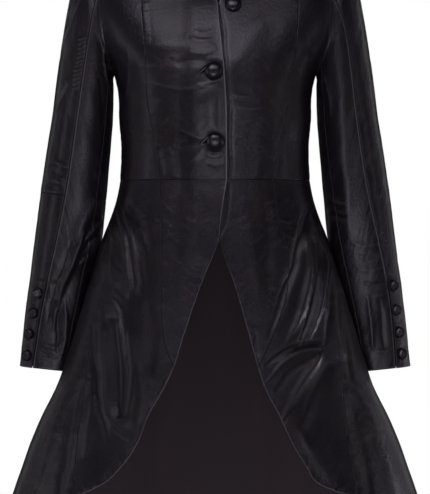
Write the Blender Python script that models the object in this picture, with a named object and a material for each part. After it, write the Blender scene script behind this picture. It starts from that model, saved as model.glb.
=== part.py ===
"""A long leather coat, filled out as if worn, sewn from panels that are thin hollow walls.

Metres, +Z up. The coat faces -Y and +X is the wearer's left. The origin is the neck, where the coat is held.
"""

from collections import namedtuple

import bmesh
import bpy
import numpy as np
from mathutils import Vector

for old in list(bpy.data.objects):
    bpy.data.objects.remove(old, do_unlink=True)

# Driving dimensions
WALL = 0.002
LINING_WALL = 0.001
SEAM_GAP = 0.0003
LAYER_GAP = 0.0012
WAIST_Z = -0.405
UNDERARM_Z = -0.245
SHOULDER_TIP_Z = -0.042
BACK_NECK_Z = -0.004
COLLAR_END_Z = -0.052
COLLAR_HEIGHT = 0.035
COLLAR_LEAN = 0.25
ARMHOLE_REACH = 0.19
MITRE_LEAST = 0.4
RIDGE_MEETING = 0.2
SLEEVE_SIDES = 18
FRONT_BUTTON_WIDTH = 0.0254
CUFF_BUTTON_WIDTH = 0.0175
BUTTON_STANDOFF = 0.0006
LINING_HEM_RISE = 0.018
FOLD_STEPS = 24
FRONT_WRAP_TURN = -0.12

# A turn is measured round the body: 0 at centre front, 0.5 at the side and 1 at centre back.
RIGHT = -1
LEFT = 1
SIDE_NAMES = {RIGHT: "right", LEFT: "left"}
SIDE_COLUMN = {RIGHT: 1, LEFT: 2}
FRONT_FACE = (0.52, 0.44)
BACK_FACE = (0.48, 0.56)

# Where the right front is lifted over the left one: fully, and no more
Lap = namedtuple("Lap", "full none")
LAP_ACROSS = Lap(0.025, 0.055)
LAP_BODICE_Z = Lap(-0.15, -0.10)
LAP_SKIRT_Z = Lap(-0.50, -0.56)

# Level sections of the body, from the waist up to the neck. A squareness of 2 is an ellipse.
Section = namedtuple("Section", "z half_width front back squareness")
BODICE = (
    Section(-0.405, 0.1440, 0.095, 0.083, 2.20),
    Section(-0.360, 0.1425, 0.101, 0.090, 2.20),
    Section(-0.313, 0.1455, 0.111, 0.100, 2.25),
    Section(-0.262, 0.1485, 0.118, 0.108, 2.30),
    Section(-0.245, 0.1530, 0.118, 0.110, 2.35),
    Section(-0.190, 0.1820, 0.107, 0.111, 2.65),
    Section(-0.131, 0.1930, 0.088, 0.101, 3.00),
    Section(-0.080, 0.1960, 0.068, 0.083, 3.00),
    Section(-0.042, 0.1860, 0.048, 0.066, 2.80),
    Section(-0.020, 0.1260, 0.034, 0.054, 2.40),
    Section(0.000, 0.0720, 0.020, 0.043, 2.00),
    Section(0.012, 0.0420, 0.012, 0.036, 2.00),
)

# Level sections of the skirt, from below the hem up to the waist
SKIRT = (
    Section(-0.9700, 0.3400, 0.142, 0.244, 2.10),
    Section(-0.8815, 0.3080, 0.137, 0.225, 2.10),
    Section(-0.8000, 0.2790, 0.131, 0.206, 2.10),
    Section(-0.6950, 0.2360, 0.122, 0.182, 2.15),
    Section(-0.5600, 0.1930, 0.111, 0.143, 2.20),
    Section(-0.4955, 0.1725, 0.105, 0.120, 2.20),
    Section(-0.4650, 0.1600, 0.102, 0.107, 2.20),
    Section(-0.4350, 0.1500, 0.099, 0.094, 2.20),
    Section(-0.4050, 0.1440, 0.095, 0.083, 2.20),
    Section(-0.3900, 0.1425, 0.094, 0.080, 2.20),
)

# Seams and edges, as the distance from the centre line at each height, towards the side named
Course = namedtuple("Course", "z right left")
FRONT_EDGE = (
    Course(-0.405, -0.0190, -0.0190),
    Course(-0.298, -0.0180, -0.0180),
    Course(-0.217, -0.0130, -0.0150),
    Course(-0.165, -0.0070, -0.0040),
    Course(-0.131, -0.0026, 0.0087),
    Course(-0.090, 0.0270, 0.0320),
    Course(-0.045, 0.0540, 0.0550),
    Course(0.000, 0.0720, 0.0720),
)
PRINCESS_SEAM = (
    Course(-0.405, 0.084, 0.086),
    Course(-0.356, 0.089, 0.095),
    Course(-0.283, 0.102, 0.111),
    Course(-0.227, 0.104, 0.119),
    Course(-0.131, 0.110, 0.125),
    Course(-0.060, 0.108, 0.116),
    Course(0.000, 0.104, 0.106),
)
SKIRT_EDGE = (
    Course(-0.4975, -0.0056, 0.0065),
    Course(-0.4575, -0.0100, -0.0080),
    Course(-0.4050, -0.0190, -0.0190),
)
FRONT_SEAM = (
    Course(-0.6861, 0.0609, 0.0639),
    Course(-0.6608, 0.0719, 0.0769),
    Course(-0.6205, 0.0793, 0.0944),
    Course(-0.5602, 0.0797, 0.1103),
    Course(-0.5100, 0.0796, 0.1087),
    Course(-0.4650, 0.0796, 0.0954),
    Course(-0.4050, 0.0825, 0.0870),
)
SIDE_SEAM = (
    Course(-0.8813, 0.2133, 0.2133),
    Course(-0.7886, 0.2052, 0.1998),
    Course(-0.7305, 0.1974, 0.1924),
    Course(-0.6203, 0.1850, 0.1820),
    Course(-0.5456, 0.1770, 0.1782),
    Course(-0.4940, 0.1631, 0.1641),
    Course(-0.4500, 0.1495, 0.1495),
    Course(-0.4050, 0.1385, 0.1385),
)
CUTAWAY_EDGE = (
    Course(-0.8813, 0.2133, 0.2133),
    Course(-0.8754, 0.1965, 0.1910),
    Course(-0.8639, 0.1724, 0.1613),
    Course(-0.8346, 0.1391, 0.1361),
    Course(-0.8008, 0.1159, 0.1159),
    Course(-0.7588, 0.0992, 0.0957),
    Course(-0.7144, 0.0739, 0.0730),
    Course(-0.6861, 0.0609, 0.0639),
    Course(-0.6407, 0.0467, 0.0513),
    Course(-0.6004, 0.0336, 0.0402),
    Course(-0.5562, 0.0179, 0.0271),
    Course(-0.5210, 0.0035, 0.0140),
    Course(-0.4975, -0.0056, 0.0065),
)
HemPoint = namedtuple("HemPoint", "turn z")
BACK_HEM = (HemPoint(0.24, -0.8813), HemPoint(0.36, -0.898), HemPoint(0.5, -0.906), HemPoint(1.0, -0.935))

# Sleeve sections below the armhole: each ring's outer and inner points, middle, half depth and squareness
Ring = namedtuple("Ring", "outer_x outer_z inner_x inner_z middle_y half_depth squareness")
SLEEVE = (
    Ring(0.2090, -0.084, 0.1545, -0.2520, 0.004, 0.0600, 2.00),
    Ring(0.2225, -0.135, 0.1540, -0.2640, 0.007, 0.0620, 2.05),
    Ring(0.2376, -0.228, 0.1545, -0.2900, 0.012, 0.0610, 2.10),
    Ring(0.2480, -0.305, 0.1570, -0.3350, 0.017, 0.0580, 2.20),
    Ring(0.2635, -0.404, 0.1645, -0.4180, 0.024, 0.0540, 2.30),
    Ring(0.2755, -0.496, 0.1730, -0.5000, 0.032, 0.0505, 2.40),
    Ring(0.2840, -0.560, 0.1870, -0.5680, 0.038, 0.0475, 2.50),
    Ring(0.2915, -0.620, 0.2005, -0.6300, 0.043, 0.0445, 2.60),
    Ring(0.2985, -0.688, 0.2140, -0.6970, 0.046, 0.0420, 2.70),
)
ARMHOLE_CLEAR = 0.02
ELBOW_JOIN = 5.2

# Sleeve seams, as the share of the way round the sleeve, from its outer side forwards
SleeveSeam = namedtuple("SleeveSeam", "ring right left inner")
SLEEVE_SEAMS = (
    SleeveSeam(0.0, 4 / SLEEVE_SIDES, 4 / SLEEVE_SIDES, 7 / SLEEVE_SIDES),
    SleeveSeam(2.0, 0.236, 0.206, 0.390),
    SleeveSeam(4.0, 0.222, 0.203, 0.385),
    SleeveSeam(5.0, 0.218, 0.198, 0.372),
    SleeveSeam(6.0, 0.197, 0.172, 0.355),
    SleeveSeam(7.5, 0.178, 0.161, 0.346),
    SleeveSeam(9.0, 0.170, 0.178, 0.345),
)

# The largest folds of the skirt: where each starts and ends, its bow midway, its spread and its height
Fold = namedtuple("Fold", "face side across_top drop_top across_end drop_end bow spread height")
FOLDS = (
    Fold("front", LEFT, 0.141, 0.040, 0.086, 0.245, 0.004, 0.014, -0.004),
    Fold("front", LEFT, 0.136, 0.085, 0.116, 0.260, 0.010, 0.012, 0.004),
    Fold("front", LEFT, 0.167, 0.085, 0.150, 0.260, 0.008, 0.012, 0.003),
    Fold("front", LEFT, 0.164, 0.250, 0.090, 0.370, 0.004, 0.016, 0.004),
    Fold("front", RIGHT, 0.137, 0.045, 0.112, 0.185, -0.004, 0.013, 0.003),
    Fold("front", RIGHT, 0.157, 0.205, 0.149, 0.372, 0.000, 0.013, -0.005),
    Fold("front", RIGHT, 0.128, 0.200, 0.122, 0.370, 0.000, 0.018, 0.003),
    Fold("back", LEFT, 0.050, 0.150, 0.084, 0.700, 0.000, 0.026, 0.010),
    Fold("back", LEFT, 0.085, 0.150, 0.166, 0.700, 0.000, 0.026, -0.010),
    Fold("back", LEFT, 0.115, 0.160, 0.257, 0.700, 0.000, 0.028, 0.010),
    Fold("back", RIGHT, 0.045, 0.170, 0.106, 0.700, 0.000, 0.028, 0.009),
    Fold("back", RIGHT, 0.085, 0.140, 0.185, 0.700, 0.000, 0.026, -0.010),
    Fold("back", RIGHT, 0.120, 0.170, 0.276, 0.700, 0.000, 0.028, 0.010),
)

# Where the hanging sleeve presses the skirt in
ArmDent = namedtuple("ArmDent", "turn spread z above below depth")
ARM_DENT = ArmDent(0.574, 0.056, -0.698, 0.09, 0.03, 0.027)

# Panel resolution, in rows and columns of facets
ROWS_TO_UNDERARM = 5
ROWS_ON_ARMHOLE = SLEEVE_SIDES // 2
BODICE_ROWS = ROWS_TO_UNDERARM + ROWS_ON_ARMHOLE
NECKLINE_ROWS = 3
SKIRT_ROWS = 13
SLEEVE_ROWS_ABOVE_JOIN = 7
SLEEVE_ROWS_BELOW_JOIN = 6
FRONT_COLUMNS = 6
SIDE_FRONT_COLUMNS = 5
BACK_COLUMNS = 8
SKIRT_FRONT_COLUMNS = 5
SKIRT_SIDE_COLUMNS = 7
SKIRT_BACK_COLUMNS = 13


def material(name, colour, roughness):
    """A plain finish with this colour and roughness."""
    made = bpy.data.materials.new(name)
    made.use_nodes = True
    shader = made.node_tree.nodes["Principled BSDF"]
    shader.inputs["Base Color"].default_value = (*colour, 1.0)
    shader.inputs["Roughness"].default_value = roughness
    shader.inputs["Metallic"].default_value = 0.0
    return made


LEATHER = material("black_leather", (0.012, 0.011, 0.013), 0.36)
LINING = material("lining_cloth", (0.014, 0.010, 0.012), 0.75)
BUTTON = material("button_leather", (0.014, 0.013, 0.015), 0.30)
COAT = bpy.data.objects.new("coat", None)
bpy.context.collection.objects.link(COAT)


def smooth(at, knots, values):
    """A cubic curve through the values at the knots, read at one or more places."""
    knots = np.asarray(knots, float)
    values = np.asarray(values, float)
    slopes = np.gradient(values, knots, axis=0)
    low = np.clip(np.searchsorted(knots, at) - 1, 0, len(knots) - 2)
    step = knots[low + 1] - knots[low]
    t = np.clip((at - knots[low]) / step, 0.0, 1.0)
    rise = t * t * (3 - 2 * t)
    leave = t * (1 - t) ** 2 * step
    arrive = t * t * (t - 1) * step
    return values[low] * (1 - rise) + values[low + 1] * rise + slopes[low] * leave + slopes[low + 1] * arrive


def ease(value, start, end):
    """0 at start and 1 at end, with a soft run between."""
    t = np.clip((value - start) / (end - start), 0.0, 1.0)
    return t * t * (3 - 2 * t)


def lap_share(value, lap):
    """1 where the lap is full and 0 where there is none."""
    return ease(value, lap.none, lap.full)


def unit(vectors):
    """The vectors at length 1."""
    return vectors / np.linalg.norm(vectors, axis=-1, keepdims=True)


def section_at(sections, z):
    """Half width, front depth, back depth and squareness at this height."""
    columns = np.array(sections).T
    return [smooth(z, columns[0], column) for column in columns[1:]]


def body_point(sections, side, turn, z):
    """The point of the body's surface at this turn and height."""
    half_width, front, back, squareness = section_at(sections, z)
    across = np.sin(np.pi * turn)
    forward = np.cos(np.pi * turn)
    swell = (np.abs(across) ** squareness + np.abs(forward) ** squareness) ** (-1 / squareness)
    depth = np.where(forward > 0, front, back)
    return np.stack([side * half_width * across * swell, -depth * forward * swell, z + 0 * turn], axis=-1)


def turn_at(sections, across, z):
    """The turn on the front of the body at this distance from the centre line."""
    turns = np.linspace(FRONT_WRAP_TURN, 0.5, 125)
    reach = [body_point(sections, LEFT, turns, height + 0 * turns)[:, 0] for height in z]
    return np.array([np.interp(a, points, turns) for a, points in zip(across, reach)])


def normals_of(surface, u, v, u_step=1e-3, v_step=5e-4):
    """Unit normals of a surface, by differences along its two directions."""
    along_u = surface(u + u_step, v) - surface(u - u_step, v)
    along_v = surface(u, v + v_step) - surface(u, v - v_step)
    return unit(np.cross(along_u, along_v))


def level(vectors):
    """The vectors laid level, at length 1."""
    return unit(vectors * (1, 1, 0))


def bodice_surface(side):
    """The bodice's outer surface on one side, with the right front lifted over the left one."""

    def surface(turn, z):
        base = body_point(BODICE, side, turn, z)
        if side == LEFT:
            return base
        lapped = lap_share(side * base[..., 0], LAP_ACROSS) * lap_share(z, LAP_BODICE_Z) * (turn < 0.5)
        out = side * normals_of(lambda u, v: body_point(BODICE, side, u, v), turn, z)
        return base + level(out) * (lapped * (WALL + LAYER_GAP))[..., None]

    return surface


def fold_height(side, base, turn):
    """How far the skirt's folds stand out from its plain flare at these points."""
    across = side * base[..., 0]
    drop = WAIST_Z - base[..., 2]
    height = 0 * drop
    for fold in FOLDS:
        if fold.side != side:
            continue
        t = np.linspace(0, 1, FOLD_STEPS)
        path_across = fold.across_top + (fold.across_end - fold.across_top) * t + 4 * fold.bow * t * (1 - t)
        path_drop = fold.drop_top + (fold.drop_end - fold.drop_top) * t
        reach = np.hypot(across[..., None] - path_across, drop[..., None] - path_drop).min(axis=-1)
        share = np.clip((drop - fold.drop_top) / (fold.drop_end - fold.drop_top), 0, 1)
        facing = ease(turn, *(FRONT_FACE if fold.face == "front" else BACK_FACE))
        fade = facing * (1 - (2 * share - 1) ** 4)
        height = height + fold.height * fade * np.exp(-((reach / fold.spread) ** 2))
    down = np.where(base[..., 2] > ARM_DENT.z, ARM_DENT.above, ARM_DENT.below)
    up_body = (base[..., 2] - ARM_DENT.z) / down
    round_body = (turn - ARM_DENT.turn) / ARM_DENT.spread
    return height - ARM_DENT.depth * np.exp(-0.5 * (up_body**2 + round_body**2))


def skirt_surface(side):
    """The skirt's outer surface on one side, with its folds."""

    def plain(turn, z):
        return body_point(SKIRT, side, turn, z)

    def surface(turn, z):
        base = plain(turn, z)
        out = side * normals_of(plain, turn, z)
        lapped = lap_share(side * base[..., 0], LAP_ACROSS) * lap_share(z, LAP_SKIRT_Z) * (turn < 0.5)
        lift = lapped * (WALL + LAYER_GAP) * (side == RIGHT)
        return base + level(out) * (fold_height(side, base, turn) + lift)[..., None]

    return surface


def course(sections, rows, side, start_z, end_z, count):
    """A seam or edge as turns and heights, from start_z to end_z, evenly spaced along its length."""
    table = np.array(rows)
    z = np.linspace(start_z, end_z, 200)
    turn = turn_at(sections, smooth(z, table[:, 0], table[:, SIDE_COLUMN[side]]), z)
    return spaced(sections, np.stack([turn, z], axis=-1), count)


def spaced(sections, line, count):
    """The line of turns and heights, read again at evenly spaced points."""
    points = body_point(sections, LEFT, line[:, 0], line[:, 1])
    run = np.concatenate([[0], np.cumsum(np.linalg.norm(np.diff(points, axis=0), axis=1))])
    at = np.linspace(0, run[-1], count)
    return np.stack([np.interp(at, run, line[:, 0]), np.interp(at, run, line[:, 1])], axis=-1)


def straight(start, end, count):
    """Evenly spaced turns and heights between two corners."""
    return np.linspace(np.array(start), np.array(end), count)


def patch(top, bottom, first, last):
    """A grid of turns and heights between four edges, by blending opposite edges."""
    down = np.linspace(0, 1, len(first))[:, None, None]
    along = np.linspace(0, 1, len(top))[None, :, None]
    sides = (1 - along) * first[:, None] + along * last[:, None]
    ends = (1 - down) * top[None] + down * bottom[None]
    upper = (1 - along) * top[0] + along * top[-1]
    lower = (1 - along) * bottom[0] + along * bottom[-1]
    return sides + ends - (1 - down) * upper - down * lower


def drawn_in(grid):
    """The grid with its edges drawn in by half a seam gap."""
    grid = grid.copy()
    for turned in (grid, grid.swapaxes(0, 1)):
        for edge, inner in ((0, 1), (-1, -2)):
            turned[edge] += unit(turned[inner] - turned[edge]) * SEAM_GAP / 2
    return grid


def add_object(name, points, faces, finish):
    """A named object under the coat, with its faces pointing out."""
    mesh = bpy.data.meshes.new(name)
    mesh.from_pydata([tuple(point) for point in points], [], faces)
    shape = bmesh.new()
    shape.from_mesh(mesh)
    bmesh.ops.recalc_face_normals(shape, faces=shape.faces)
    shape.to_mesh(mesh)
    shape.free()
    mesh.shade_smooth()
    mesh.set_sharp_from_angle(angle=np.radians(50))
    mesh.materials.append(finish)
    made = bpy.data.objects.new(name, mesh)
    made.parent = COAT
    bpy.context.collection.objects.link(made)


def grid_faces(points, index):
    """Two triangles for each square of the grid, split along its shorter diagonal."""
    a, b = index[:-1, :-1].reshape(-1), index[:-1, 1:].reshape(-1)
    d, c = index[1:, :-1].reshape(-1), index[1:, 1:].reshape(-1)
    across = np.linalg.norm(points[a] - points[c], axis=1) <= np.linalg.norm(points[b] - points[d], axis=1)
    first = np.where(across[:, None], np.stack([a, b, c], -1), np.stack([a, b, d], -1))
    second = np.where(across[:, None], np.stack([a, c, d], -1), np.stack([b, c, d], -1))
    return np.concatenate([first, second])


def rim_faces(index):
    """Two triangles for each square of the wall's rim, split alike on the two panels of a seam."""
    count = index.size
    ahead = np.concatenate([index[0, :-1], index[:-1, -1]])
    back = np.concatenate([index[-1, :0:-1], index[:0:-1, 0]])
    following = np.roll(np.concatenate([ahead, back]), -1)
    ahead_next, back_next = following[: len(ahead)], following[len(ahead) :]
    return np.concatenate(
        [
            np.stack([ahead_next, ahead, ahead + count], -1),
            np.stack([ahead_next, ahead + count, ahead_next + count], -1),
            np.stack([back_next, back, back_next + count], -1),
            np.stack([back, back + count, back_next + count], -1),
        ]
    )


def add_wall(name, outer, inward, finish=LEATHER):
    """A closed wall between a grid of outer points and the same grid moved inward."""
    inner = drawn_in(outer + inward)
    outer = drawn_in(outer)
    index = np.arange(outer.shape[0] * outer.shape[1]).reshape(outer.shape[:2])
    front = grid_faces(outer.reshape(-1, 3), index)
    faces = np.concatenate([front, front[:, ::-1] + index.size, rim_faces(index)])
    points = np.concatenate([outer.reshape(-1, 3), inner.reshape(-1, 3)])
    add_object(name, points, faces.tolist(), finish)


def armhole(share):
    """Turn and height on the armhole: 0 at the shoulder tip, 0.25 in front and 0.5 at the underarm."""
    middle = (SHOULDER_TIP_Z + UNDERARM_Z) / 2
    half = (SHOULDER_TIP_Z - UNDERARM_Z) / 2
    return 0.5 - ARMHOLE_REACH * np.sin(2 * np.pi * share), middle + half * np.cos(2 * np.pi * share)


def sleeve_surface(side):
    """The sleeve's outer surface on one side: the share of the way round, and the ring counted down."""

    def surface(share, ring):
        share, ring = np.broadcast_arrays(np.asarray(share, float), np.asarray(ring, float))
        outwards = np.cos(2 * np.pi * share)
        forwards = np.sin(2 * np.pi * share)
        rings = [body_point(BODICE, side, *armhole(share))]
        for row in SLEEVE:
            power = row.squareness
            swell = (np.abs(outwards) ** power + np.abs(forwards) ** power) ** (-1 / power)
            reach = outwards * swell / 2
            x = (row.outer_x + row.inner_x) / 2 + reach * (row.outer_x - row.inner_x)
            z = (row.outer_z + row.inner_z) / 2 + reach * (row.outer_z - row.inner_z)
            y = row.middle_y - forwards * swell * row.half_depth
            rings.append(np.stack([side * x, y, z], axis=-1))
        rings = np.array(rings).reshape(len(rings), -1, 3)
        knots = np.arange(len(rings))
        points = [smooth(at, knots, rings[:, i]) for i, at in enumerate(ring.reshape(-1))]
        return np.array(points).reshape(*share.shape, 3)

    return surface


def sleeve_normals(side, share, ring):
    """Unit normals that point out of the sleeve."""
    return side * normals_of(sleeve_surface(side), share, np.maximum(ring, ARMHOLE_CLEAR), 1e-3, 1e-2)


def armhole_inward(side, share, own):
    """The wall's inward step on the armhole seam, mitred where bodice and sleeve meet at a ridge."""
    turn, z = armhole(share)
    bodice = side * normals_of(bodice_surface(side), turn, z)
    sleeve = sleeve_normals(side, share, np.zeros_like(share))
    meeting = np.sum(bodice * sleeve, axis=-1, keepdims=True)
    mitre = unit(bodice + sleeve)
    length = WALL / np.sqrt(np.maximum((1 + meeting) / 2, MITRE_LEAST))
    return np.where(meeting > RIDGE_MEETING, -mitre * length, -own * WALL)


def add_bodice_panel(name, side, first, last, columns, armhole_column=None):
    """A bodice panel ruled between two edges, from the waist up to the shoulder."""
    along = np.linspace(0, 1, columns + 1)[None, :, None]
    grid = (1 - along) * first[:, None] + along * last[:, None]
    turn, z = grid[..., 0], grid[..., 1]
    surface = bodice_surface(side)
    out = side * normals_of(surface, turn, z)
    inward = -out * WALL
    if armhole_column is not None:
        rows = np.arange(ROWS_TO_UNDERARM + 1, BODICE_ROWS + 1)
        share = 0.5 * (BODICE_ROWS - rows) / ROWS_ON_ARMHOLE
        if armhole_column == 0:
            share = 1 - share
        inward[rows, armhole_column] = armhole_inward(side, share, out[rows, armhole_column])
    add_wall(name, surface(turn, z), inward)


def side_to_shoulder(direction):
    """The side seam to the underarm, then the armhole to the shoulder tip: +1 in front and -1 behind."""
    seam = straight((0.5, WAIST_Z), (0.5, UNDERARM_Z), ROWS_TO_UNDERARM + 1)
    share = 0.5 - direction * 0.5 * np.arange(1, ROWS_ON_ARMHOLE + 1) / ROWS_ON_ARMHOLE
    return np.concatenate([seam, np.stack(armhole(share), axis=-1)])


def shoulder_height(across):
    """The height of the shoulder ridge at this distance from the centre line."""
    z = np.linspace(0, SHOULDER_TIP_Z, 100)
    return np.interp(across, section_at(BODICE, z)[0], z)


def add_bodice(side):
    """Front, side front and back panels of one side of the bodice."""
    name = SIDE_NAMES[side]
    rows = BODICE_ROWS + 1
    edge = course(BODICE, FRONT_EDGE, side, WAIST_Z, 0.0, rows)
    seam_top = shoulder_height(PRINCESS_SEAM[-1][SIDE_COLUMN[side]])
    seam = course(BODICE, PRINCESS_SEAM, side, WAIST_Z, seam_top, rows)
    seam[-1, 0] = 0.5
    edge[-1, 0] = 0.5
    add_bodice_panel("bodice_front_" + name, side, edge, seam, FRONT_COLUMNS)
    add_bodice_panel("bodice_side_front_" + name, side, seam, side_to_shoulder(1), SIDE_FRONT_COLUMNS, -1)
    centre = straight((1.0, WAIST_Z), (1.0, BACK_NECK_Z), BODICE_ROWS - NECKLINE_ROWS + 1)
    neckline = straight((1.0, BACK_NECK_Z), (0.5, 0.0), NECKLINE_ROWS + 1)
    centre = np.concatenate([centre, neckline[1:]])
    add_bodice_panel("bodice_back_" + name, side, side_to_shoulder(-1), centre, BACK_COLUMNS, 0)


def add_collar():
    """A plain stand collar, from one front edge round the back of the neck to the other."""
    lines = []
    for side in (RIGHT, LEFT):
        front = course(BODICE, FRONT_EDGE, side, COLLAR_END_Z, 0.0, 7)
        front[-1, 0] = 0.5
        back = straight((0.5, 0.0), (1.0, BACK_NECK_Z), 7)[1:]
        line = np.concatenate([front, back])
        lines.append(body_point(BODICE, side, line[:, 0], line[:, 1]))
    foot = np.concatenate([lines[0], lines[1][-2::-1]])
    inwards = level(-foot)
    rise = unit(COLLAR_LEAN * inwards + (0, 0, 1))
    run = np.gradient(foot, axis=0)
    out = unit(np.cross(run, rise))
    heights = np.linspace(SEAM_GAP, COLLAR_HEIGHT, 3)[:, None, None]
    add_wall("stand_collar", foot[None] + rise[None] * heights, -np.repeat(out[None], 3, axis=0) * WALL)


def skirt_grids(side):
    """Grids of turns and heights for the skirt's front, side and back panels."""
    rows = SKIRT_ROWS + 1
    fork = SKIRT_EDGE[0].z
    seam_end = FRONT_SEAM[0].z
    hem_start = SIDE_SEAM[0].z
    edge = course(SKIRT, SKIRT_EDGE, side, WAIST_Z, fork, rows)
    front_seam = course(SKIRT, FRONT_SEAM, side, WAIST_Z, seam_end, rows)
    side_seam = course(SKIRT, SIDE_SEAM, side, WAIST_Z, hem_start, rows)
    centre = straight((1.0, WAIST_Z), (1.0, BACK_HEM[-1].z), rows)
    front_cut = course(SKIRT, CUTAWAY_EDGE, side, fork, seam_end, SKIRT_FRONT_COLUMNS + 1)
    side_cut = course(SKIRT, CUTAWAY_EDGE, side, seam_end, hem_start, SKIRT_SIDE_COLUMNS + 1)
    hem_turn = np.linspace(side_seam[-1, 0], 1.0, 120)
    hem_z = np.interp(hem_turn, [side_seam[-1, 0]] + [p.turn for p in BACK_HEM[1:]], [p.z for p in BACK_HEM])
    back_hem = spaced(SKIRT, np.stack([hem_turn, hem_z], axis=-1), SKIRT_BACK_COLUMNS + 1)
    return {
        "front": patch(straight(edge[0], front_seam[0], len(front_cut)), front_cut, edge, front_seam),
        "side": patch(straight(front_seam[0], side_seam[0], len(side_cut)), side_cut, front_seam, side_seam),
        "back": patch(straight(side_seam[0], centre[0], len(back_hem)), back_hem, side_seam, centre),
    }


def add_skirt(side):
    """Front, side and back panels of one side of the skirt."""
    surface = skirt_surface(side)
    for panel, grid in skirt_grids(side).items():
        turn, z = grid[..., 0], grid[..., 1]
        out = side * normals_of(surface, turn, z)
        add_wall(f"skirt_{panel}_{SIDE_NAMES[side]}", surface(turn, z), -out * WALL)


def add_lining():
    """The lining of the skirt's back, one panel that hangs inside both back panels."""
    halves = []
    for side in (RIGHT, LEFT):
        turn, z = np.moveaxis(skirt_grids(side)["back"], -1, 0)
        z[-1] += LINING_HEM_RISE
        surface = skirt_surface(side)
        out = side * normals_of(surface, turn, z)
        halves.append((surface(turn, z) - out * (WALL + LAYER_GAP), -out * LINING_WALL))
    outer, inward = [np.concatenate([half[0], half[1][:, -2::-1]], axis=1) for half in zip(*halves)]
    add_wall("skirt_lining", outer, inward, LINING)


def add_sleeve(side):
    """Front and back panels of one sleeve. The right back panel is joined at the elbow."""
    name = SIDE_NAMES[side]
    above = np.linspace(ARMHOLE_CLEAR, ELBOW_JOIN, SLEEVE_ROWS_ABOVE_JOIN + 1)
    below = np.linspace(ELBOW_JOIN, len(SLEEVE), SLEEVE_ROWS_BELOW_JOIN + 1)
    rings = np.concatenate([above, below[1:]])
    table = np.array(SLEEVE_SEAMS)
    seam_rings = np.where(rings > ARMHOLE_CLEAR, rings, 0)
    outer_seam = smooth(seam_rings, table[:, 0], table[:, SIDE_COLUMN[side]])
    inner_seam = smooth(seam_rings, table[:, 0], table[:, -1])
    front_columns = round((inner_seam[0] - outer_seam[0]) * SLEEVE_SIDES)
    panels = {
        "front": np.linspace(outer_seam, inner_seam, front_columns + 1, axis=1),
        "back": np.linspace(inner_seam, outer_seam + 1, SLEEVE_SIDES - front_columns + 1, axis=1),
    }
    for panel, share in panels.items():
        ring = np.repeat(rings[:, None], share.shape[1], axis=1)
        outer = sleeve_surface(side)(share, ring)
        out = sleeve_normals(side, share, ring)
        inward = -out * WALL
        inward[0] = armhole_inward(side, share[0], out[0])
        if panel == "back" and side == RIGHT:
            join = SLEEVE_ROWS_ABOVE_JOIN
            add_wall("sleeve_back_right_upper", outer[: join + 1], inward[: join + 1])
            add_wall("sleeve_back_right_lower", outer[join:], inward[join:])
        else:
            add_wall(f"sleeve_{panel}_{name}", outer, inward)


# A button's outline as shares of its half width: radius and height, from its back to the middle of its top
ButtonPoint = namedtuple("ButtonPoint", "radius height")
FRONT_BUTTON = (
    ButtonPoint(0.70, 0.00),
    ButtonPoint(0.96, 0.14),
    ButtonPoint(1.00, 0.26),
    ButtonPoint(0.86, 0.46),
    ButtonPoint(0.50, 0.60),
    ButtonPoint(0.00, 0.64),
)
CUFF_BUTTON = (
    ButtonPoint(0.76, 0.00),
    ButtonPoint(1.00, 0.20),
    ButtonPoint(0.96, 0.46),
    ButtonPoint(0.78, 0.54),
    ButtonPoint(0.66, 0.46),
    ButtonPoint(0.00, 0.42),
)
BUTTON_SIDES = 14


def add_button(name, outline, width, place, out):
    """A round covered button, turned about its own axis and set on the cloth."""
    angles = np.arange(BUTTON_SIDES) * 2 * np.pi / BUTTON_SIDES
    *rings, crown = [(width / 2 * point.radius, width / 2 * point.height) for point in outline]
    points = [(0, 0, 0)]
    for radius, height in rings:
        points += [(radius * np.cos(a), radius * np.sin(a), height) for a in angles]
    points.append((0, 0, crown[1]))
    faces = []
    for i in range(BUTTON_SIDES):
        following = (i + 1) % BUTTON_SIDES
        faces.append((0, 1 + following, 1 + i))
        for ring in range(len(rings) - 1):
            low = 1 + ring * BUTTON_SIDES
            high = low + BUTTON_SIDES
            faces.append((low + i, low + following, high + following, high + i))
        faces.append((high + i, high + following, len(points) - 1))
    add_object(name, points, faces, BUTTON)
    made = bpy.data.objects[name]
    made.location = Vector(place + out * BUTTON_STANDOFF)
    made.rotation_euler = Vector(out).to_track_quat("Z", "Y").to_euler()


# Front buttons: the panel each sits on, its distance from the centre line towards +X, and its height
FrontButton = namedtuple("FrontButton", "name side x z")
FRONT_BUTTONS = (
    FrontButton("front_button_top", LEFT, 0.027, -0.142),
    FrontButton("front_button_middle", RIGHT, -0.002, -0.243),
    FrontButton("front_button_low", RIGHT, 0.000, -0.3485),
)

# Cuff buttons: the ring of the sleeve and the share of the way round that each sits at, on each side
CuffButton = namedtuple("CuffButton", "right_ring right_share left_ring left_share")
CUFF_BUTTONS = (
    CuffButton(7.24, 0.149, 7.06, 0.136),
    CuffButton(7.76, 0.139, 7.68, 0.140),
    CuffButton(8.26, 0.130, 8.22, 0.139),
    CuffButton(8.74, 0.132, 8.70, 0.139),
)


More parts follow.
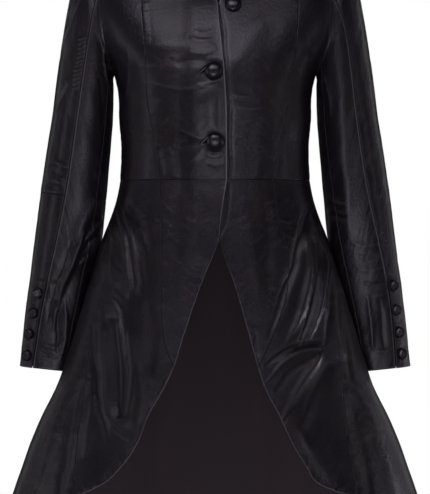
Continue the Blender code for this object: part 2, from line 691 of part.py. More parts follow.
def add_buttons():
    """Three domed buttons down the front, and four rimmed ones at each cuff."""
    for button in FRONT_BUTTONS:
        turn = turn_at(BODICE, [button.side * button.x], [button.z])
        z = np.array([button.z])
        surface = bodice_surface(button.side)
        out = button.side * normals_of(surface, turn, z)[0]
        add_button(button.name, FRONT_BUTTON, FRONT_BUTTON_WIDTH, surface(turn, z)[0], out)
    for side in (RIGHT, LEFT):
        for number, button in enumerate(CUFF_BUTTONS, 1):
            name = f"cuff_button_{SIDE_NAMES[side]}_{number}"
            ring = np.array([button.right_ring if side == RIGHT else button.left_ring])
            share = np.array([button.right_share if side == RIGHT else button.left_share])
            place = sleeve_surface(side)(share, ring)[0]
            out = sleeve_normals(side, share, ring)[0]
            add_button(name, CUFF_BUTTON, CUFF_BUTTON_WIDTH, place, out)


for body_side in (RIGHT, LEFT):
    add_bodice(body_side)
    add_skirt(body_side)
    add_sleeve(body_side)
add_collar()
add_lining()
add_buttons()
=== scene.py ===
from collections import namedtuple

import bpy
import numpy as np
from mathutils import Matrix, Vector
from mathutils.bvhtree import BVHTree


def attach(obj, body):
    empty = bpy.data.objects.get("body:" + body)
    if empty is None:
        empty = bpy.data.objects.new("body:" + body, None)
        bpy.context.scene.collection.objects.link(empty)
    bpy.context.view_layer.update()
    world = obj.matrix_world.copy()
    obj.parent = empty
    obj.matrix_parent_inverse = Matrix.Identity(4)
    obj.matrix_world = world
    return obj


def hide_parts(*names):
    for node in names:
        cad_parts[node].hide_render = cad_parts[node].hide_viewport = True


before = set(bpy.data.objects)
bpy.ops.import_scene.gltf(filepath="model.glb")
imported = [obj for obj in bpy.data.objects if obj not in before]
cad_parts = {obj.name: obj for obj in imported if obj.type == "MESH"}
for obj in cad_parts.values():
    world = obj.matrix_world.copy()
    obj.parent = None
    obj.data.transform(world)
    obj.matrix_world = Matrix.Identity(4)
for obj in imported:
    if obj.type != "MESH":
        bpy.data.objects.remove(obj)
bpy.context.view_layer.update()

# Back of the bodice: two panels of soft black nappa, shaped in to the waist and joined down the centre back.
# Each panel is one skin with its edges turned in and sewn, so a seam is a narrow groove with small puckers.
RIGHT = -1
LEFT = 1
SIDE_NAMES = {RIGHT: "right", LEFT: "left"}
WAIST_Z = -0.405
UNDERARM_Z = -0.245
SHOULDER_TIP_Z = -0.042
BACK_NECK_Z = -0.004
ARMHOLE_REACH = 0.19
UNDERARM_SHARE = 0.5
ROWS_TO_UNDERARM = 5
ROWS_ON_ARMHOLE = 9
BODICE_ROWS = ROWS_TO_UNDERARM + ROWS_ON_ARMHOLE
NECKLINE_ROWS = 3
WALL = 0.0018
SEAM_OVERLAP = 0.0001
SIDE_TURN = 0.5
BACK_TURN = 1.0

# Steps of the mesh: near an edge, and on what the photo hides
EDGE_STEPS = np.array([0.0, 0.0007, 0.0015, 0.0025, 0.0038])
BACK_STEP = 0.0040


def rows_of(kind, *rows):
    """A table with named columns, from the values of its rows."""
    return tuple(kind(*row) for row in rows)


# Level sections of the body from the waist up to the neck. A squareness of 2 is an ellipse.
Section = namedtuple("Section", "z half_width front back squareness")
BODICE = rows_of(
    Section,
    (-0.405, 0.1440, 0.095, 0.083, 2.20),
    (-0.360, 0.1425, 0.101, 0.090, 2.20),
    (-0.313, 0.1455, 0.111, 0.100, 2.25),
    (-0.262, 0.1485, 0.118, 0.108, 2.30),
    (-0.245, 0.1530, 0.118, 0.110, 2.35),
    (-0.190, 0.1820, 0.107, 0.111, 2.65),
    (-0.131, 0.1930, 0.088, 0.101, 3.00),
    (-0.080, 0.1960, 0.068, 0.083, 3.00),
    (-0.042, 0.1860, 0.048, 0.066, 2.80),
    (-0.020, 0.1260, 0.034, 0.054, 2.40),
    (0.000, 0.0720, 0.020, 0.043, 2.00),
    (0.012, 0.0420, 0.012, 0.036, 2.00),
)


def smooth(at, knots, values):
    """A cubic curve through the values at the knots, read at one or more places."""
    knots = np.asarray(knots, float)
    values = np.asarray(values, float)
    slopes = np.gradient(values, knots, axis=0)
    low = np.clip(np.searchsorted(knots, at) - 1, 0, len(knots) - 2)
    step = knots[low + 1] - knots[low]
    t = np.clip((at - knots[low]) / step, 0.0, 1.0)
    rise = t * t * (3 - 2 * t)
    leave = t * (1 - t) ** 2 * step
    arrive = t * t * (t - 1) * step
    return values[low] * (1 - rise) + values[low + 1] * rise + slopes[low] * leave + slopes[low + 1] * arrive


def ease(value, start, end):
    """0 at start and 1 at end, with a soft run between."""
    t = np.clip((value - start) / (end - start), 0.0, 1.0)
    return t * t * (3 - 2 * t)


NO_LENGTH = 1e-12


def unit(vectors):
    """The vectors at length 1."""
    return vectors / np.maximum(np.linalg.norm(vectors, axis=-1, keepdims=True), NO_LENGTH)


def section_at(sections, z):
    """Half width, front depth, back depth and squareness at this height."""
    columns = np.array(sections).T
    return [smooth(z, columns[0], column) for column in columns[1:]]


def body_point(sections, side, turn, z):
    """The point of the body at this height and turn, which is 0 at centre front."""
    half_width, front, back, squareness = section_at(sections, z)
    across = np.sin(np.pi * turn)
    forward = np.cos(np.pi * turn)
    swell = (np.abs(across) ** squareness + np.abs(forward) ** squareness) ** (-1 / squareness)
    depth = np.where(forward > 0, front, back)
    return np.stack([side * half_width * across * swell, -depth * forward * swell, z + 0 * turn], axis=-1)


def normals_of(surface, u, v, u_step=1e-3, v_step=5e-4):
    """Unit normals of a surface, by differences along its two directions."""
    along_u = surface(u + u_step, v) - surface(u - u_step, v)
    along_v = surface(u, v + v_step) - surface(u, v - v_step)
    return unit(np.cross(along_u, along_v))


def straight(start, end):
    """A straight line between two corners, read at shares of its length."""
    start, end = np.array(start), np.array(end)
    return lambda share: start + (end - start) * np.asarray(share)[..., None]


def run_along(points):
    """How far each point of a line is from its start."""
    return np.concatenate([[0], np.cumsum(np.linalg.norm(np.diff(points, axis=0), axis=1))])


# A share of a length that takes a step of its own
Span = namedtuple("Span", "start end step")
SPREAD_PARTS = 2000
LINE_PARTS = 80


def spread_out(length, step, spans=()):
    """Shares of a length at even steps, with the spans' own steps and closer ones near both ends."""
    at = np.linspace(EDGE_STEPS[-1], length - EDGE_STEPS[-1], SPREAD_PARTS)
    steps = np.full(len(at), step)
    for span in spans:
        steps[(at > span.start * length) & (at < span.end * length)] = span.step
    count = np.concatenate([[0], np.cumsum(np.diff(at) / steps[1:])])
    middle = np.interp(np.linspace(0, count[-1], max(2, round(count[-1])) + 1), count, at)
    return np.concatenate([EDGE_STEPS[:-1], middle, length - EDGE_STEPS[-2::-1]]) / length


def framed(first, last):
    """The four seam lines round a panel: these two, and straight ones between their ends."""
    return first, last, straight(first(0.0), last(0.0)), straight(first(1.0), last(1.0))


def panel_grid(surface, first, last, start, end, step, rows=(), columns=()):
    """A grid over the surface between four seam lines, by blending opposite lines."""
    t = np.linspace(0, 1, LINE_PARTS)
    lengths = [run_along(surface(*line(t).T))[-1] for line in (first, last, start, end)]
    down = spread_out(max(lengths[:2]), step, rows)
    along = spread_out(max(lengths[2:]), step, columns)
    d = down[:, None, None]
    a = along[None, :, None]
    sides = (1 - a) * first(down)[:, None] + a * last(down)[:, None]
    ends = (1 - d) * start(along)[None] + d * end(along)[None]
    corners = (1 - d) * ((1 - a) * first(0.0) + a * last(0.0)) + d * ((1 - a) * first(1.0) + a * last(1.0))
    grid = sides + ends - corners
    return grid[..., 0], grid[..., 1]


LATTICE_SIZE = 64
LATTICE = np.random.default_rng(7).uniform(-1, 1, (LATTICE_SIZE, LATTICE_SIZE))
SLANT_ALONG = 0.8
SLANT_ACROSS = 0.6


def ripple(x, y):
    """Smooth uneven waves from about -1 to 1, one or so to each unit of x and y, on a slant."""
    x, y = SLANT_ALONG * x + SLANT_ACROSS * y, SLANT_ALONG * y - SLANT_ACROSS * x
    low_x, low_y = np.floor(x).astype(int), np.floor(y).astype(int)
    share_x, share_y = ease(x - low_x, 0, 1), ease(y - low_y, 0, 1)

    def row(step):
        here = LATTICE[low_x % LATTICE_SIZE, (low_y + step) % LATTICE_SIZE]
        after = LATTICE[(low_x + 1) % LATTICE_SIZE, (low_y + step) % LATTICE_SIZE]
        return here * (1 - share_x) + after * share_x

    return row(0) * (1 - share_y) + row(1) * share_y


def edge_runs(points):
    """How far each point of a grid is from its four edges, measured along the surface."""
    across = np.cumsum(np.linalg.norm(np.diff(points, axis=1, prepend=points[:, :1]), axis=-1), axis=1)
    down = np.cumsum(np.linalg.norm(np.diff(points, axis=0, prepend=points[:1]), axis=-1), axis=0)
    return {"first": across, "last": across[:, -1:] - across, "start": down, "end": down[-1:] - down}


# How an edge is finished: it curves in over a radius, by a depth outside and inside, with a raised bead,
# puckers, a share of painted highlight (paler and glossier) just inside its rim, and a share of painted shade
# at its rim
Edge = namedtuple("Edge", "radius depth inside bead pucker wave reach worn dark")
SEAM = Edge(0.0011, 0.00038, 0.0000, 0.0, 0.00030, 0.010, 0.012, 0.0, 0.0)
SOFT_SEAM = SEAM._replace(radius=0.0010, depth=0.0004)

# A crease as seen from the front or the back: a line through three points, in mm towards +X and below the
# waist, then its half width and how far it rises, in mm, and how much painted highlight (paler and glossier)
# its ridge gets
Crease = namedtuple("Crease", "from_x from_drop by_x by_drop to_x to_drop width rise rub", defaults=[0.0])
MM_IN_METRE = 1000
CREASE_PARTS = 12
CREASE_REACH = 2.6
CREASE_TAPER = 0.55
CREASE_PAINTED_HIGHLIGHT_REACH = 1.5

# Narrow creases are sharp and wide ones are round
CREASE_WIDTHS = (3.0, 6.0)
CREASE_ROUNDNESS = (1.3, 2.0)


def row_of_puckers(count, line, step_x, step_drop, width, rise, rub=0.0):
    """The values of a row of short creases, each a step on from the one before, in whole millimetres."""
    step = np.tile([step_x, step_drop], 3)
    return [(*np.round(line + step * number), width, rise, rub) for number in range(count)]


def crease_height(creases, across, drop):
    """How far the creases stand out at these places, in metres, and how much painted highlight they get."""
    height, rub = np.zeros((2, *across.shape))
    t = np.linspace(0, 1, CREASE_PARTS + 1)[:, None]
    for crease in creases:
        start, middle, end = np.array(crease[:6], float).reshape(3, 2)
        path = start * (1 - t) * (1 - 2 * t) + middle * 4 * t * (1 - t) + end * t * (2 * t - 1)
        reach = CREASE_REACH * crease.width
        low, high = path.min(0) - reach, path.max(0) + reach
        near = (across > low[0]) & (across < high[0]) & (drop > low[1]) & (drop < high[1])
        if not near.any():
            continue
        parts = np.diff(path, axis=0)
        offset = np.stack([across[near], drop[near]], -1)[:, None] - path[:-1]
        along = np.clip((offset * parts).sum(-1) / (parts * parts).sum(-1), 0, 1)
        distance = np.hypot(*np.moveaxis(offset - along[..., None] * parts, -1, 0))
        nearest = distance.argmin(axis=1)
        pick = np.arange(len(nearest))
        place = (nearest + along[pick, nearest]) / CREASE_PARTS
        gap = distance[pick, nearest]
        x = gap / (crease.width * (1 - CREASE_TAPER * (2 * place - 1) ** 2))
        fade = 1 - (2 * place - 1) ** 4
        roundness = np.interp(crease.width, CREASE_WIDTHS, CREASE_ROUNDNESS)
        height[near] += crease.rise * fade * np.exp(-(x**roundness))
        # Painted highlight along the crease's ridge
        rub[near] = np.maximum(rub[near], crease.rub * fade * np.exp(-((gap / CREASE_PAINTED_HIGHLIGHT_REACH) ** 2)))
    return height / MM_IN_METRE, rub


VIEW_DISTANCE = 6.0
VIEW_Z = -0.506


def front_view(points):
    """Where points stand as seen from the front, in mm towards +X and below the waist."""
    nearness = VIEW_DISTANCE / (VIEW_DISTANCE + points[..., 1])
    drop = WAIST_Z - VIEW_Z - (points[..., 2] - VIEW_Z) * nearness
    return points[..., 0] * nearness * MM_IN_METRE, drop * MM_IN_METRE


# How creases waver: the height and length of waves in mm, and the places where the two directions read them
Waver = namedtuple("Waver", "height length x_place drop_place")
WAVERS = (Waver(2.4, 34, 0, 31), Waver(0.5, 11, 7, 43))
FACING = (0.02, 0.30)


def crease_relief(points, out, front_creases, back_creases):
    """Wavering creases, the front's on what faces forwards and the back's on what faces backwards."""
    across, drop = points[..., 0] * MM_IN_METRE, (WAIST_Z - points[..., 2]) * MM_IN_METRE
    waver_x = sum(w.height * ripple(across / w.length + w.x_place, drop / w.length) for w in WAVERS)
    waver_drop = sum(w.height * ripple(across / w.length + w.drop_place, drop / w.length) for w in WAVERS)
    front_x, front_drop = front_view(points)
    front = crease_height(front_creases, front_x + waver_x, front_drop + waver_drop)
    back = crease_height(back_creases, across + waver_x, drop + waver_drop)
    facing_front, facing_back = ease(-out[..., 1], *FACING), ease(out[..., 1], *FACING)
    return [facing_front * ahead + facing_back * behind for ahead, behind in zip(front, back)]


def lay_panel(surface, side, lines, step, creases, columns=()):
    """A panel's points between its four seam lines, with their outward directions, creases and painted
    highlight.
    """
    turn, z = panel_grid(surface, *lines, step, columns=columns)
    base = surface(turn, z)
    out = side * normals_of(surface, turn, z)
    return base, out, *crease_relief(base, out, *creases)


def softened(values, passes=3):
    """The values of a grid, averaged with their neighbours."""
    for _ in range(passes):
        padded = np.pad(values, 1, mode="edge")
        values = (padded[:-2, 1:-1] + padded[2:, 1:-1] + padded[1:-1, :-2] + padded[1:-1, 2:]) / 4
    return values


def drawn_out(grid):
    """The grid with its edges drawn out a little, so that joined panels leave no gap."""
    grid = grid.copy()
    for turned in (grid, grid.swapaxes(0, 1)):
        for edge, inner in ((0, 1), (-1, -2)):
            turned[edge] += unit(turned[edge] - turned[inner]) * SEAM_OVERLAP
    return grid


INNER_STRIDE = 3


def thinned(count):
    """Every third place of a row, with its last one."""
    return np.append(np.arange(0, count - 1, INNER_STRIDE), count - 1)


def squares_of(index):
    """The squares of a grid of point numbers."""
    return np.stack([index[:-1, :-1], index[:-1, 1:], index[1:, 1:], index[1:, :-1]], -1).reshape(-1, 4)


def rim_of(index):
    """The point numbers round a grid, as four runs from corner to corner."""
    return index[0], index[:, -1], index[-1, ::-1], index[::-1, 0]


def add_piece(name, points, faces, finish, inside=0.0, rub=0.0):
    """A smooth mesh in the scene, with a mark at its points for what is inside and for the painted shade
    lines at edge rims, and a mark for painted highlight.
    """
    mesh = bpy.data.meshes.new(name)
    mesh.from_pydata(np.array(points).tolist(), [], faces)
    for mark, values in (("inside", inside), ("rub", rub)):
        values = np.broadcast_to(values, len(points)).astype(np.float32)
        mesh.attributes.new(mark, "FLOAT", "POINT").data.foreach_set("value", values)
    mesh.shade_smooth()
    mesh.materials.append(finish)
    piece = bpy.data.objects.new(name, mesh)
    bpy.context.scene.collection.objects.link(piece)
    return piece


def add_wall(name, outer, inner, out, rub, painted_shade_rim, finish):
    """A closed wall between a fine outer and a coarser inner grid, facing outwards."""
    rows, columns = thinned(outer.shape[0]), thinned(outer.shape[1])
    inner = inner[rows][:, columns]
    count = outer.shape[0] * outer.shape[1]
    index = np.arange(count).reshape(outer.shape[:2])
    within = count + np.arange(inner.shape[0] * inner.shape[1]).reshape(inner.shape[:2])
    faces = squares_of(index).tolist() + squares_of(within)[:, ::-1].tolist()
    kept = [columns, rows, outer.shape[1] - 1 - columns[::-1], outer.shape[0] - 1 - rows[::-1]]
    for fine, coarse, places in zip(rim_of(index), rim_of(within), kept):
        for number in range(len(coarse) - 1):
            run = fine[places[number] : places[number + 1] + 1]
            faces.append([*run[::-1].tolist(), int(coarse[number]), int(coarse[number + 1])])
    middle = outer.shape[0] // 2, outer.shape[1] // 2
    along = outer[middle[0], middle[1] + 1] - outer[middle]
    down = outer[middle[0] + 1, middle[1]] - outer[middle]
    if np.dot(np.cross(along, down), out[middle]) < 0:
        faces = [face[::-1] for face in faces]
    points = np.concatenate([outer.reshape(-1, 3), inner.reshape(-1, 3)])
    # The inside mark is 1 on the inner side, and also on the painted shade lines at the outer rim
    inside = np.concatenate([painted_shade_rim.reshape(-1), np.ones(within.size)])
    with_painted_highlight = np.concatenate([rub.reshape(-1), np.zeros(within.size)])
    return add_piece(name, points, faces, finish, inside, with_painted_highlight)


# Slack of the leather: waves of this length and height, read from these places, with sharp ridges where the
# skin is crumpled
Slack = namedtuple("Slack", "length height sharp across down")
SLACK = rows_of(
    Slack,
    (0.034, 0.00040, False, 0, 0),
    (0.015, 0.00017, True, 9, 5),
    (0.0075, 0.00006, True, 18, 10),
)
SLACK_SQUASH = 1.2
RIDGE_SHARPNESS = 2.5
Crumple = namedtuple("Crumple", "length across down none full")
CRUMPLE = Crumple(0.060, 3, 8, -0.5, 0.6)
# Painted highlight on every ridge of the relief, full where it stands this far above its surroundings
RIDGE_RISE = 0.00012
RIDGE_PAINTED_HIGHLIGHT = 0.08

# Edges: the reach of a bead in radii, where the painted highlight and the painted shade lie, how far a seam
# holds the leather flat, and how deep its puckers run, with finer ones between
BEAD_REACH = 1.4
PAINTED_HIGHLIGHT_INSET = 0.0018
PAINTED_HIGHLIGHT_REACH = 0.0008
PAINTED_SHADE_REACH = 0.0008
SEAM_FLAT = 0.007
PUCKER_SHIFT = 17
PUCKER_DEPTH = 0.030
FinePucker = namedtuple("FinePucker", "share count depth")
FINE_PUCKER = FinePucker(0.5, 2.3, 0.02)
StitchRow = namedtuple("StitchRow", "edge inset start end")


def sew_panel(name, base, out, relief, rub, edges, finish, wall=WALL, stitch_rows=()):
    """A panel with its creases, slack and puckers, and its edges curved in where they are sewn or turned."""
    runs = edge_runs(base)
    across, down = runs["first"], runs["start"]
    patches = ripple(across / CRUMPLE.length + CRUMPLE.across, down / CRUMPLE.length + CRUMPLE.down)
    crumpled = ease(patches, CRUMPLE.none, CRUMPLE.full)
    slack, roll, inner_roll, bead, painted_shade_rim = np.zeros((5, *base.shape[:2]))
    for wave in SLACK:
        shape = ripple(across / wave.length + wave.across, down / wave.length * SLACK_SQUASH + wave.down)
        slack += wave.height * ((1 - RIDGE_SHARPNESS * np.abs(shape)) * crumpled if wave.sharp else shape)
    for number, (edge, style) in enumerate(edges.items()):
        gap = runs[edge]
        along = down if edge in ("first", "last") else across
        curve = 1 - np.sqrt(1 - np.clip(1 - gap / style.radius, 0, 1) ** 2)
        roll = np.maximum(roll, style.depth * curve)
        inner_roll = np.maximum(inner_roll, style.inside * curve)
        bead = np.maximum(bead, style.bead * np.exp(-((gap / (BEAD_REACH * style.radius)) ** 2)))
        # A painted highlight line just inside the rim, and a painted shade line at the rim
        rub = np.maximum(rub, style.worn * np.exp(-(((gap - PAINTED_HIGHLIGHT_INSET) / PAINTED_HIGHLIGHT_REACH) ** 2)))
        painted_shade_rim = np.maximum(painted_shade_rim, style.dark * (gap < PAINTED_SHADE_REACH))
        coarse = ripple(along / style.wave + PUCKER_SHIFT * number, gap / PUCKER_DEPTH)
        fine = ripple(along / style.wave * FINE_PUCKER.count, gap / FINE_PUCKER.depth)
        slack += style.pucker * np.exp(-((gap / style.reach) ** 2)) * (coarse + FINE_PUCKER.share * fine)
    relief = relief + slack
    for edge in ("start", "end"):
        if edges[edge] is SEAM:
            relief = relief * ease(runs[edge], 0, SEAM_FLAT)
    # Painted highlight along the ridges of the relief
    rub = np.maximum(rub, RIDGE_PAINTED_HIGHLIGHT * np.clip((relief - softened(relief)) / RIDGE_RISE, 0, 1))
    outer = drawn_out(base + out * (relief + bead - roll)[..., None])
    inner = drawn_out(base + out * (relief - wall + inner_roll)[..., None])
    piece = add_wall(name, outer, inner, out, rub, painted_shade_rim, finish)
    lines = [stitch_line(outer, out, runs, row) for row in stitch_rows]
    stitches = [sew_stitches(name + "_stitches", lines)] if lines else []
    return piece, stitches


STITCH_LENGTH = 0.0034
STITCH_GAP = 0.0010
STITCH_RADIUS = 0.00035
STITCH_PLACES = np.array([0.0, 0.25, 0.75, 1.0])
STITCH_LIFT = 0.4
STITCH_SIDES = 4


def stitch_line(outer, out, runs, row):
    """Where a row of stitches runs on a panel, at its inset from an edge, with the outward directions."""
    gap = runs[row.edge]
    if row.edge in ("start", "end"):
        outer, out, gap = outer.swapaxes(0, 1), out.swapaxes(0, 1), gap.T
    line = []
    for places, directions, gaps in zip(outer, out, gap):
        order = np.argsort(gaps)
        columns = (*places.T, *directions.T)
        line.append([np.interp(row.inset, gaps[order], column[order]) for column in columns])
    line = np.array(line)
    return line[int(row.start * (len(line) - 1)) : int(row.end * (len(line) - 1)) + 1]


def sew_stitches(name, lines):
    """Rows of thread stitches, each a short spindle that dips into the leather at both ends."""
    points, faces = [], []
    for line in lines:
        run = run_along(line[:, :3])
        for start in np.arange(0, run[-1] - STITCH_LENGTH, STITCH_LENGTH + STITCH_GAP):
            at = start + STITCH_LENGTH * STITCH_PLACES
            places = np.stack([np.interp(at, run, column) for column in line.T], axis=-1)
            thread, up = places[:, :3], unit(places[:, 3:])
            beside = unit(np.cross(thread[-1] - thread[0], up))
            first = len(points)
            points.append(thread[0] - up[0] * STITCH_RADIUS)
            for middle in (1, 2):
                for turn in np.arange(STITCH_SIDES) * 2 * np.pi / STITCH_SIDES:
                    spoke = beside[middle] * np.cos(turn) + up[middle] * (np.sin(turn) + STITCH_LIFT)
                    points.append(thread[middle] + spoke * STITCH_RADIUS)
            points.append(thread[3] - up[3] * STITCH_RADIUS)
            near, far = first + 1, first + 1 + STITCH_SIDES
            for i in range(STITCH_SIDES):
                j = (i + 1) % STITCH_SIDES
                faces.append((first, near + j, near + i))
                faces.append((near + i, near + j, far + j, far + i))
                faces.append((far + i, far + j, far + STITCH_SIDES))
    return add_piece(name, points, faces, THREAD)


def feed(tree, socket, value):
    """The socket takes this value, or is linked from this output of another node."""
    if isinstance(value, bpy.types.NodeSocket):
        tree.links.new(value, socket)
    else:
        socket.default_value = value


def set_inputs(tree, node, **inputs):
    """Feeds the node's inputs, named with _ for a space."""
    for name, value in inputs.items():
        feed(tree, node.inputs[name.replace("_", " ")], value)


def add_node(tree, kind, **inputs):
    """A shader node with its inputs fed."""
    made = tree.nodes.new(kind)
    set_inputs(tree, made, **inputs)
    return made


def add_math(tree, operation, first, second):
    """A sum, product or other operation on two values."""
    made = tree.nodes.new("ShaderNodeMath")
    made.operation = operation
    for socket, value in zip(made.inputs, (first, second)):
        feed(tree, socket, value)
    return made.outputs[0]


def add_range(tree, value, low, high, to_low, to_high):
    """A value moved from one range to another, with a soft run."""
    made = add_node(tree, "ShaderNodeMapRange", Value=value, From_Min=low, From_Max=high)
    set_inputs(tree, made, To_Min=to_low, To_Max=to_high)
    made.interpolation_type = "SMOOTHSTEP"
    return made.outputs[0]


def add_blend(tree, share, first, second):
    """A colour blended from one to another."""
    made = tree.nodes.new("ShaderNodeMix")
    made.data_type = "RGBA"
    for number, value in ((0, share), (6, first), (7, second)):
        feed(tree, made.inputs[number], value)
    return made.outputs[2]


# Noises of the grain, as scale, detail and distortion, and what each layer adds to its height in mm
Noise = namedtuple("Noise", "scale detail distortion", defaults=[0.0])
WARP = Noise(210.0, 2.0)
WARP_REACH = (0.0024, 0.0024, 0.0024)
CELL_EDGE = 0.22
CELL_HEIGHT = 0.016
PORES = Noise(2600.0, 2.0)
PORE_RANGE = (0.3, 0.7)
PORE_HEIGHT = 0.008
CRINKLES = Noise(95.0, 4.0, 1.1)
CRINKLE_MIDDLE = 0.5
CRINKLE_WIDTH = 0.05
CRINKLE_HEIGHT = 0.045
PEBBLES = Noise(260.0, 2.0)
PEBBLE_HEIGHT = 0.46
SQUIGGLES = Noise(420.0, 2.0, 0.9)
SQUIGGLE_HEIGHT = 0.26
DYE_CLOUDS = Noise(13.0, 3.0)
WARM_CLOUDS = Noise(19.0, 2.0)
WARM_RANGE = (0.50, 0.72)


def add_noise(tree, place, noise):
    """The outputs of a noise texture that is read at this place."""
    made = add_node(tree, "ShaderNodeTexNoise", Vector=place, Scale=noise.scale, Detail=noise.detail)
    made.inputs["Distortion"].default_value = noise.distortion
    return made.outputs


def make_leather_grain():
    """The grain of all the leather: its height in mm from cells, pores and crinkles, and its cloudy dye."""
    group = bpy.data.node_groups.new("leather_grain", "ShaderNodeTree")
    group.interface.new_socket("Place", in_out="INPUT", socket_type="NodeSocketVector")
    group.interface.new_socket("Cells", in_out="INPUT", socket_type="NodeSocketFloat")
    for name in ("Height", "Dye", "Warmth"):
        group.interface.new_socket(name, in_out="OUTPUT", socket_type="NodeSocketFloat")
    taken = group.nodes.new("NodeGroupInput")
    given = group.nodes.new("NodeGroupOutput")
    place = taken.outputs["Place"]
    bend = group.nodes.new("ShaderNodeVectorMath")
    bend.operation = "MULTIPLY_ADD"
    for socket, value in zip(bend.inputs, (add_noise(group, place, WARP)["Color"], WARP_REACH, place)):
        feed(group, socket, value)
    bent = bend.outputs[0]
    cell = add_node(group, "ShaderNodeTexVoronoi", Vector=bent, Scale=taken.outputs["Cells"])
    cell.feature = "DISTANCE_TO_EDGE"
    crinkle = add_math(group, "SUBTRACT", add_noise(group, bent, CRINKLES)["Fac"], CRINKLE_MIDDLE)
    fold = add_math(group, "ABSOLUTE", crinkle, 0.0)
    layers = (
        add_range(group, cell.outputs["Distance"], 0.0, CELL_EDGE, 0.0, CELL_HEIGHT),
        add_range(group, add_noise(group, place, PORES)["Fac"], *PORE_RANGE, 0.0, PORE_HEIGHT),
        add_range(group, fold, 0.0, CRINKLE_WIDTH, 0.0, CRINKLE_HEIGHT),
        add_math(group, "MULTIPLY", add_noise(group, place, PEBBLES)["Fac"], PEBBLE_HEIGHT),
        add_math(group, "MULTIPLY", add_noise(group, bent, SQUIGGLES)["Fac"], SQUIGGLE_HEIGHT),
    )
    height = layers[0]
    for layer in layers[1:]:
        height = add_math(group, "ADD", height, layer)
    dye = add_noise(group, place, DYE_CLOUDS)["Fac"]
    warmth = add_range(group, add_noise(group, place, WARM_CLOUDS)["Fac"], *WARM_RANGE, 0.0, 1.0)
    set_inputs(group, given, Height=height, Dye=dye, Warmth=warmth)
    return group


def plain_finish(name, **inputs):
    """A material with its shader's inputs fed."""
    made = bpy.data.materials.new(name)
    made.use_nodes = True
    set_inputs(made.node_tree, made.node_tree.nodes["Principled BSDF"], **inputs)
    return made


LEATHER_GRAIN = make_leather_grain()
DYE_DARK = (0.0066, 0.0052, 0.0077, 1.0)
DYE_LIGHT = (0.0104, 0.0082, 0.0121, 1.0)
DYE_WARM = (0.0125, 0.0080, 0.0094, 1.0)
DYE_RANGE = (0.35, 0.65)
# Pale colour of the painted highlights on ridges, edges and buttonhole lips
PAINTED_HIGHLIGHT_PALE = (0.1700, 0.1500, 0.1800, 1.0)
# Flesh side colour, also used for the painted shade lines at edge rims
FLESH_SIDE = (0.0150, 0.0125, 0.0140, 1.0)
GLOSS_TINT = (0.92, 0.81, 1.0, 1.0)
WAX_ROUGHNESS = 0.26
GLOSS_RANGE = (0.3, 0.7)
# Painted highlights are also this much less rough
PAINTED_HIGHLIGHT_GLOSS = 0.08
SUEDE_ROUGHNESS = 0.45
GRAIN_UNIT = 0.001


def make_leather(name, cells, low_gloss, high_gloss, bump, wax):
    """Dyed nappa with a waxed shine, paler and glossier where a highlight is painted on ridges and edges, and
    matt like suede on its inner side and on painted shade lines at edge rims.
    """
    made = plain_finish(name, Coat_Roughness=WAX_ROUGHNESS, Coat_Tint=GLOSS_TINT, Specular_Tint=GLOSS_TINT)
    tree = made.node_tree
    grain = tree.nodes.new("ShaderNodeGroup")
    grain.node_tree = LEATHER_GRAIN
    place = add_node(tree, "ShaderNodeTexCoord").outputs["Object"]
    set_inputs(tree, grain, Place=place, Cells=cells)
    height, dye, warmth = grain.outputs
    marks = []
    for mark in ("inside", "rub"):
        reader = tree.nodes.new("ShaderNodeAttribute")
        reader.attribute_name = mark
        marks.append(reader.outputs["Fac"])
    inside, rub = marks
    dyed = add_blend(tree, add_range(tree, dye, *DYE_RANGE, 0.0, 1.0), DYE_DARK, DYE_LIGHT)
    # Painted highlight: the dye blended towards a pale colour where the mark is
    with_painted_highlight = add_blend(tree, rub, add_blend(tree, warmth, dyed, DYE_WARM), PAINTED_HIGHLIGHT_PALE)
    cloudy = add_range(tree, dye, *GLOSS_RANGE, low_gloss, high_gloss)
    worn = add_math(tree, "SUBTRACT", cloudy, add_math(tree, "MULTIPLY", rub, PAINTED_HIGHLIGHT_GLOSS))
    # Matt on the inner side and on the painted shade lines at edge rims
    suede = add_math(tree, "MULTIPLY", inside, SUEDE_ROUGHNESS)
    raised = add_node(tree, "ShaderNodeBump", Height=height, Strength=bump, Distance=GRAIN_UNIT)
    # The inside mark paints shade lines at edge rims in the flesh side's dark colour
    set_inputs(
        tree,
        tree.nodes["Principled BSDF"],
        Base_Color=add_blend(tree, inside, with_painted_highlight, FLESH_SIDE),
        Roughness=add_math(tree, "ADD", worn, suede),
        Coat_Weight=add_math(tree, "SUBTRACT", wax, add_math(tree, "MULTIPLY", inside, wax)),
        Normal=raised.outputs["Normal"],
    )
    return made


LEATHER = make_leather("black_nappa", cells=640.0, low_gloss=0.34, high_gloss=0.43, bump=1.0, wax=0.20)
THREAD = plain_finish("sewing_thread", Base_Color=(0.020, 0.018, 0.021, 1.0), Roughness=0.48)


def armhole(share):
    """Turn and height on the armhole: 0 at the shoulder tip, 0.25 in front and 0.5 at the underarm."""
    middle = (SHOULDER_TIP_Z + UNDERARM_Z) / 2
    half = (SHOULDER_TIP_Z - UNDERARM_Z) / 2
    return SIDE_TURN - ARMHOLE_REACH * np.sin(2 * np.pi * share), middle + half * np.cos(2 * np.pi * share)


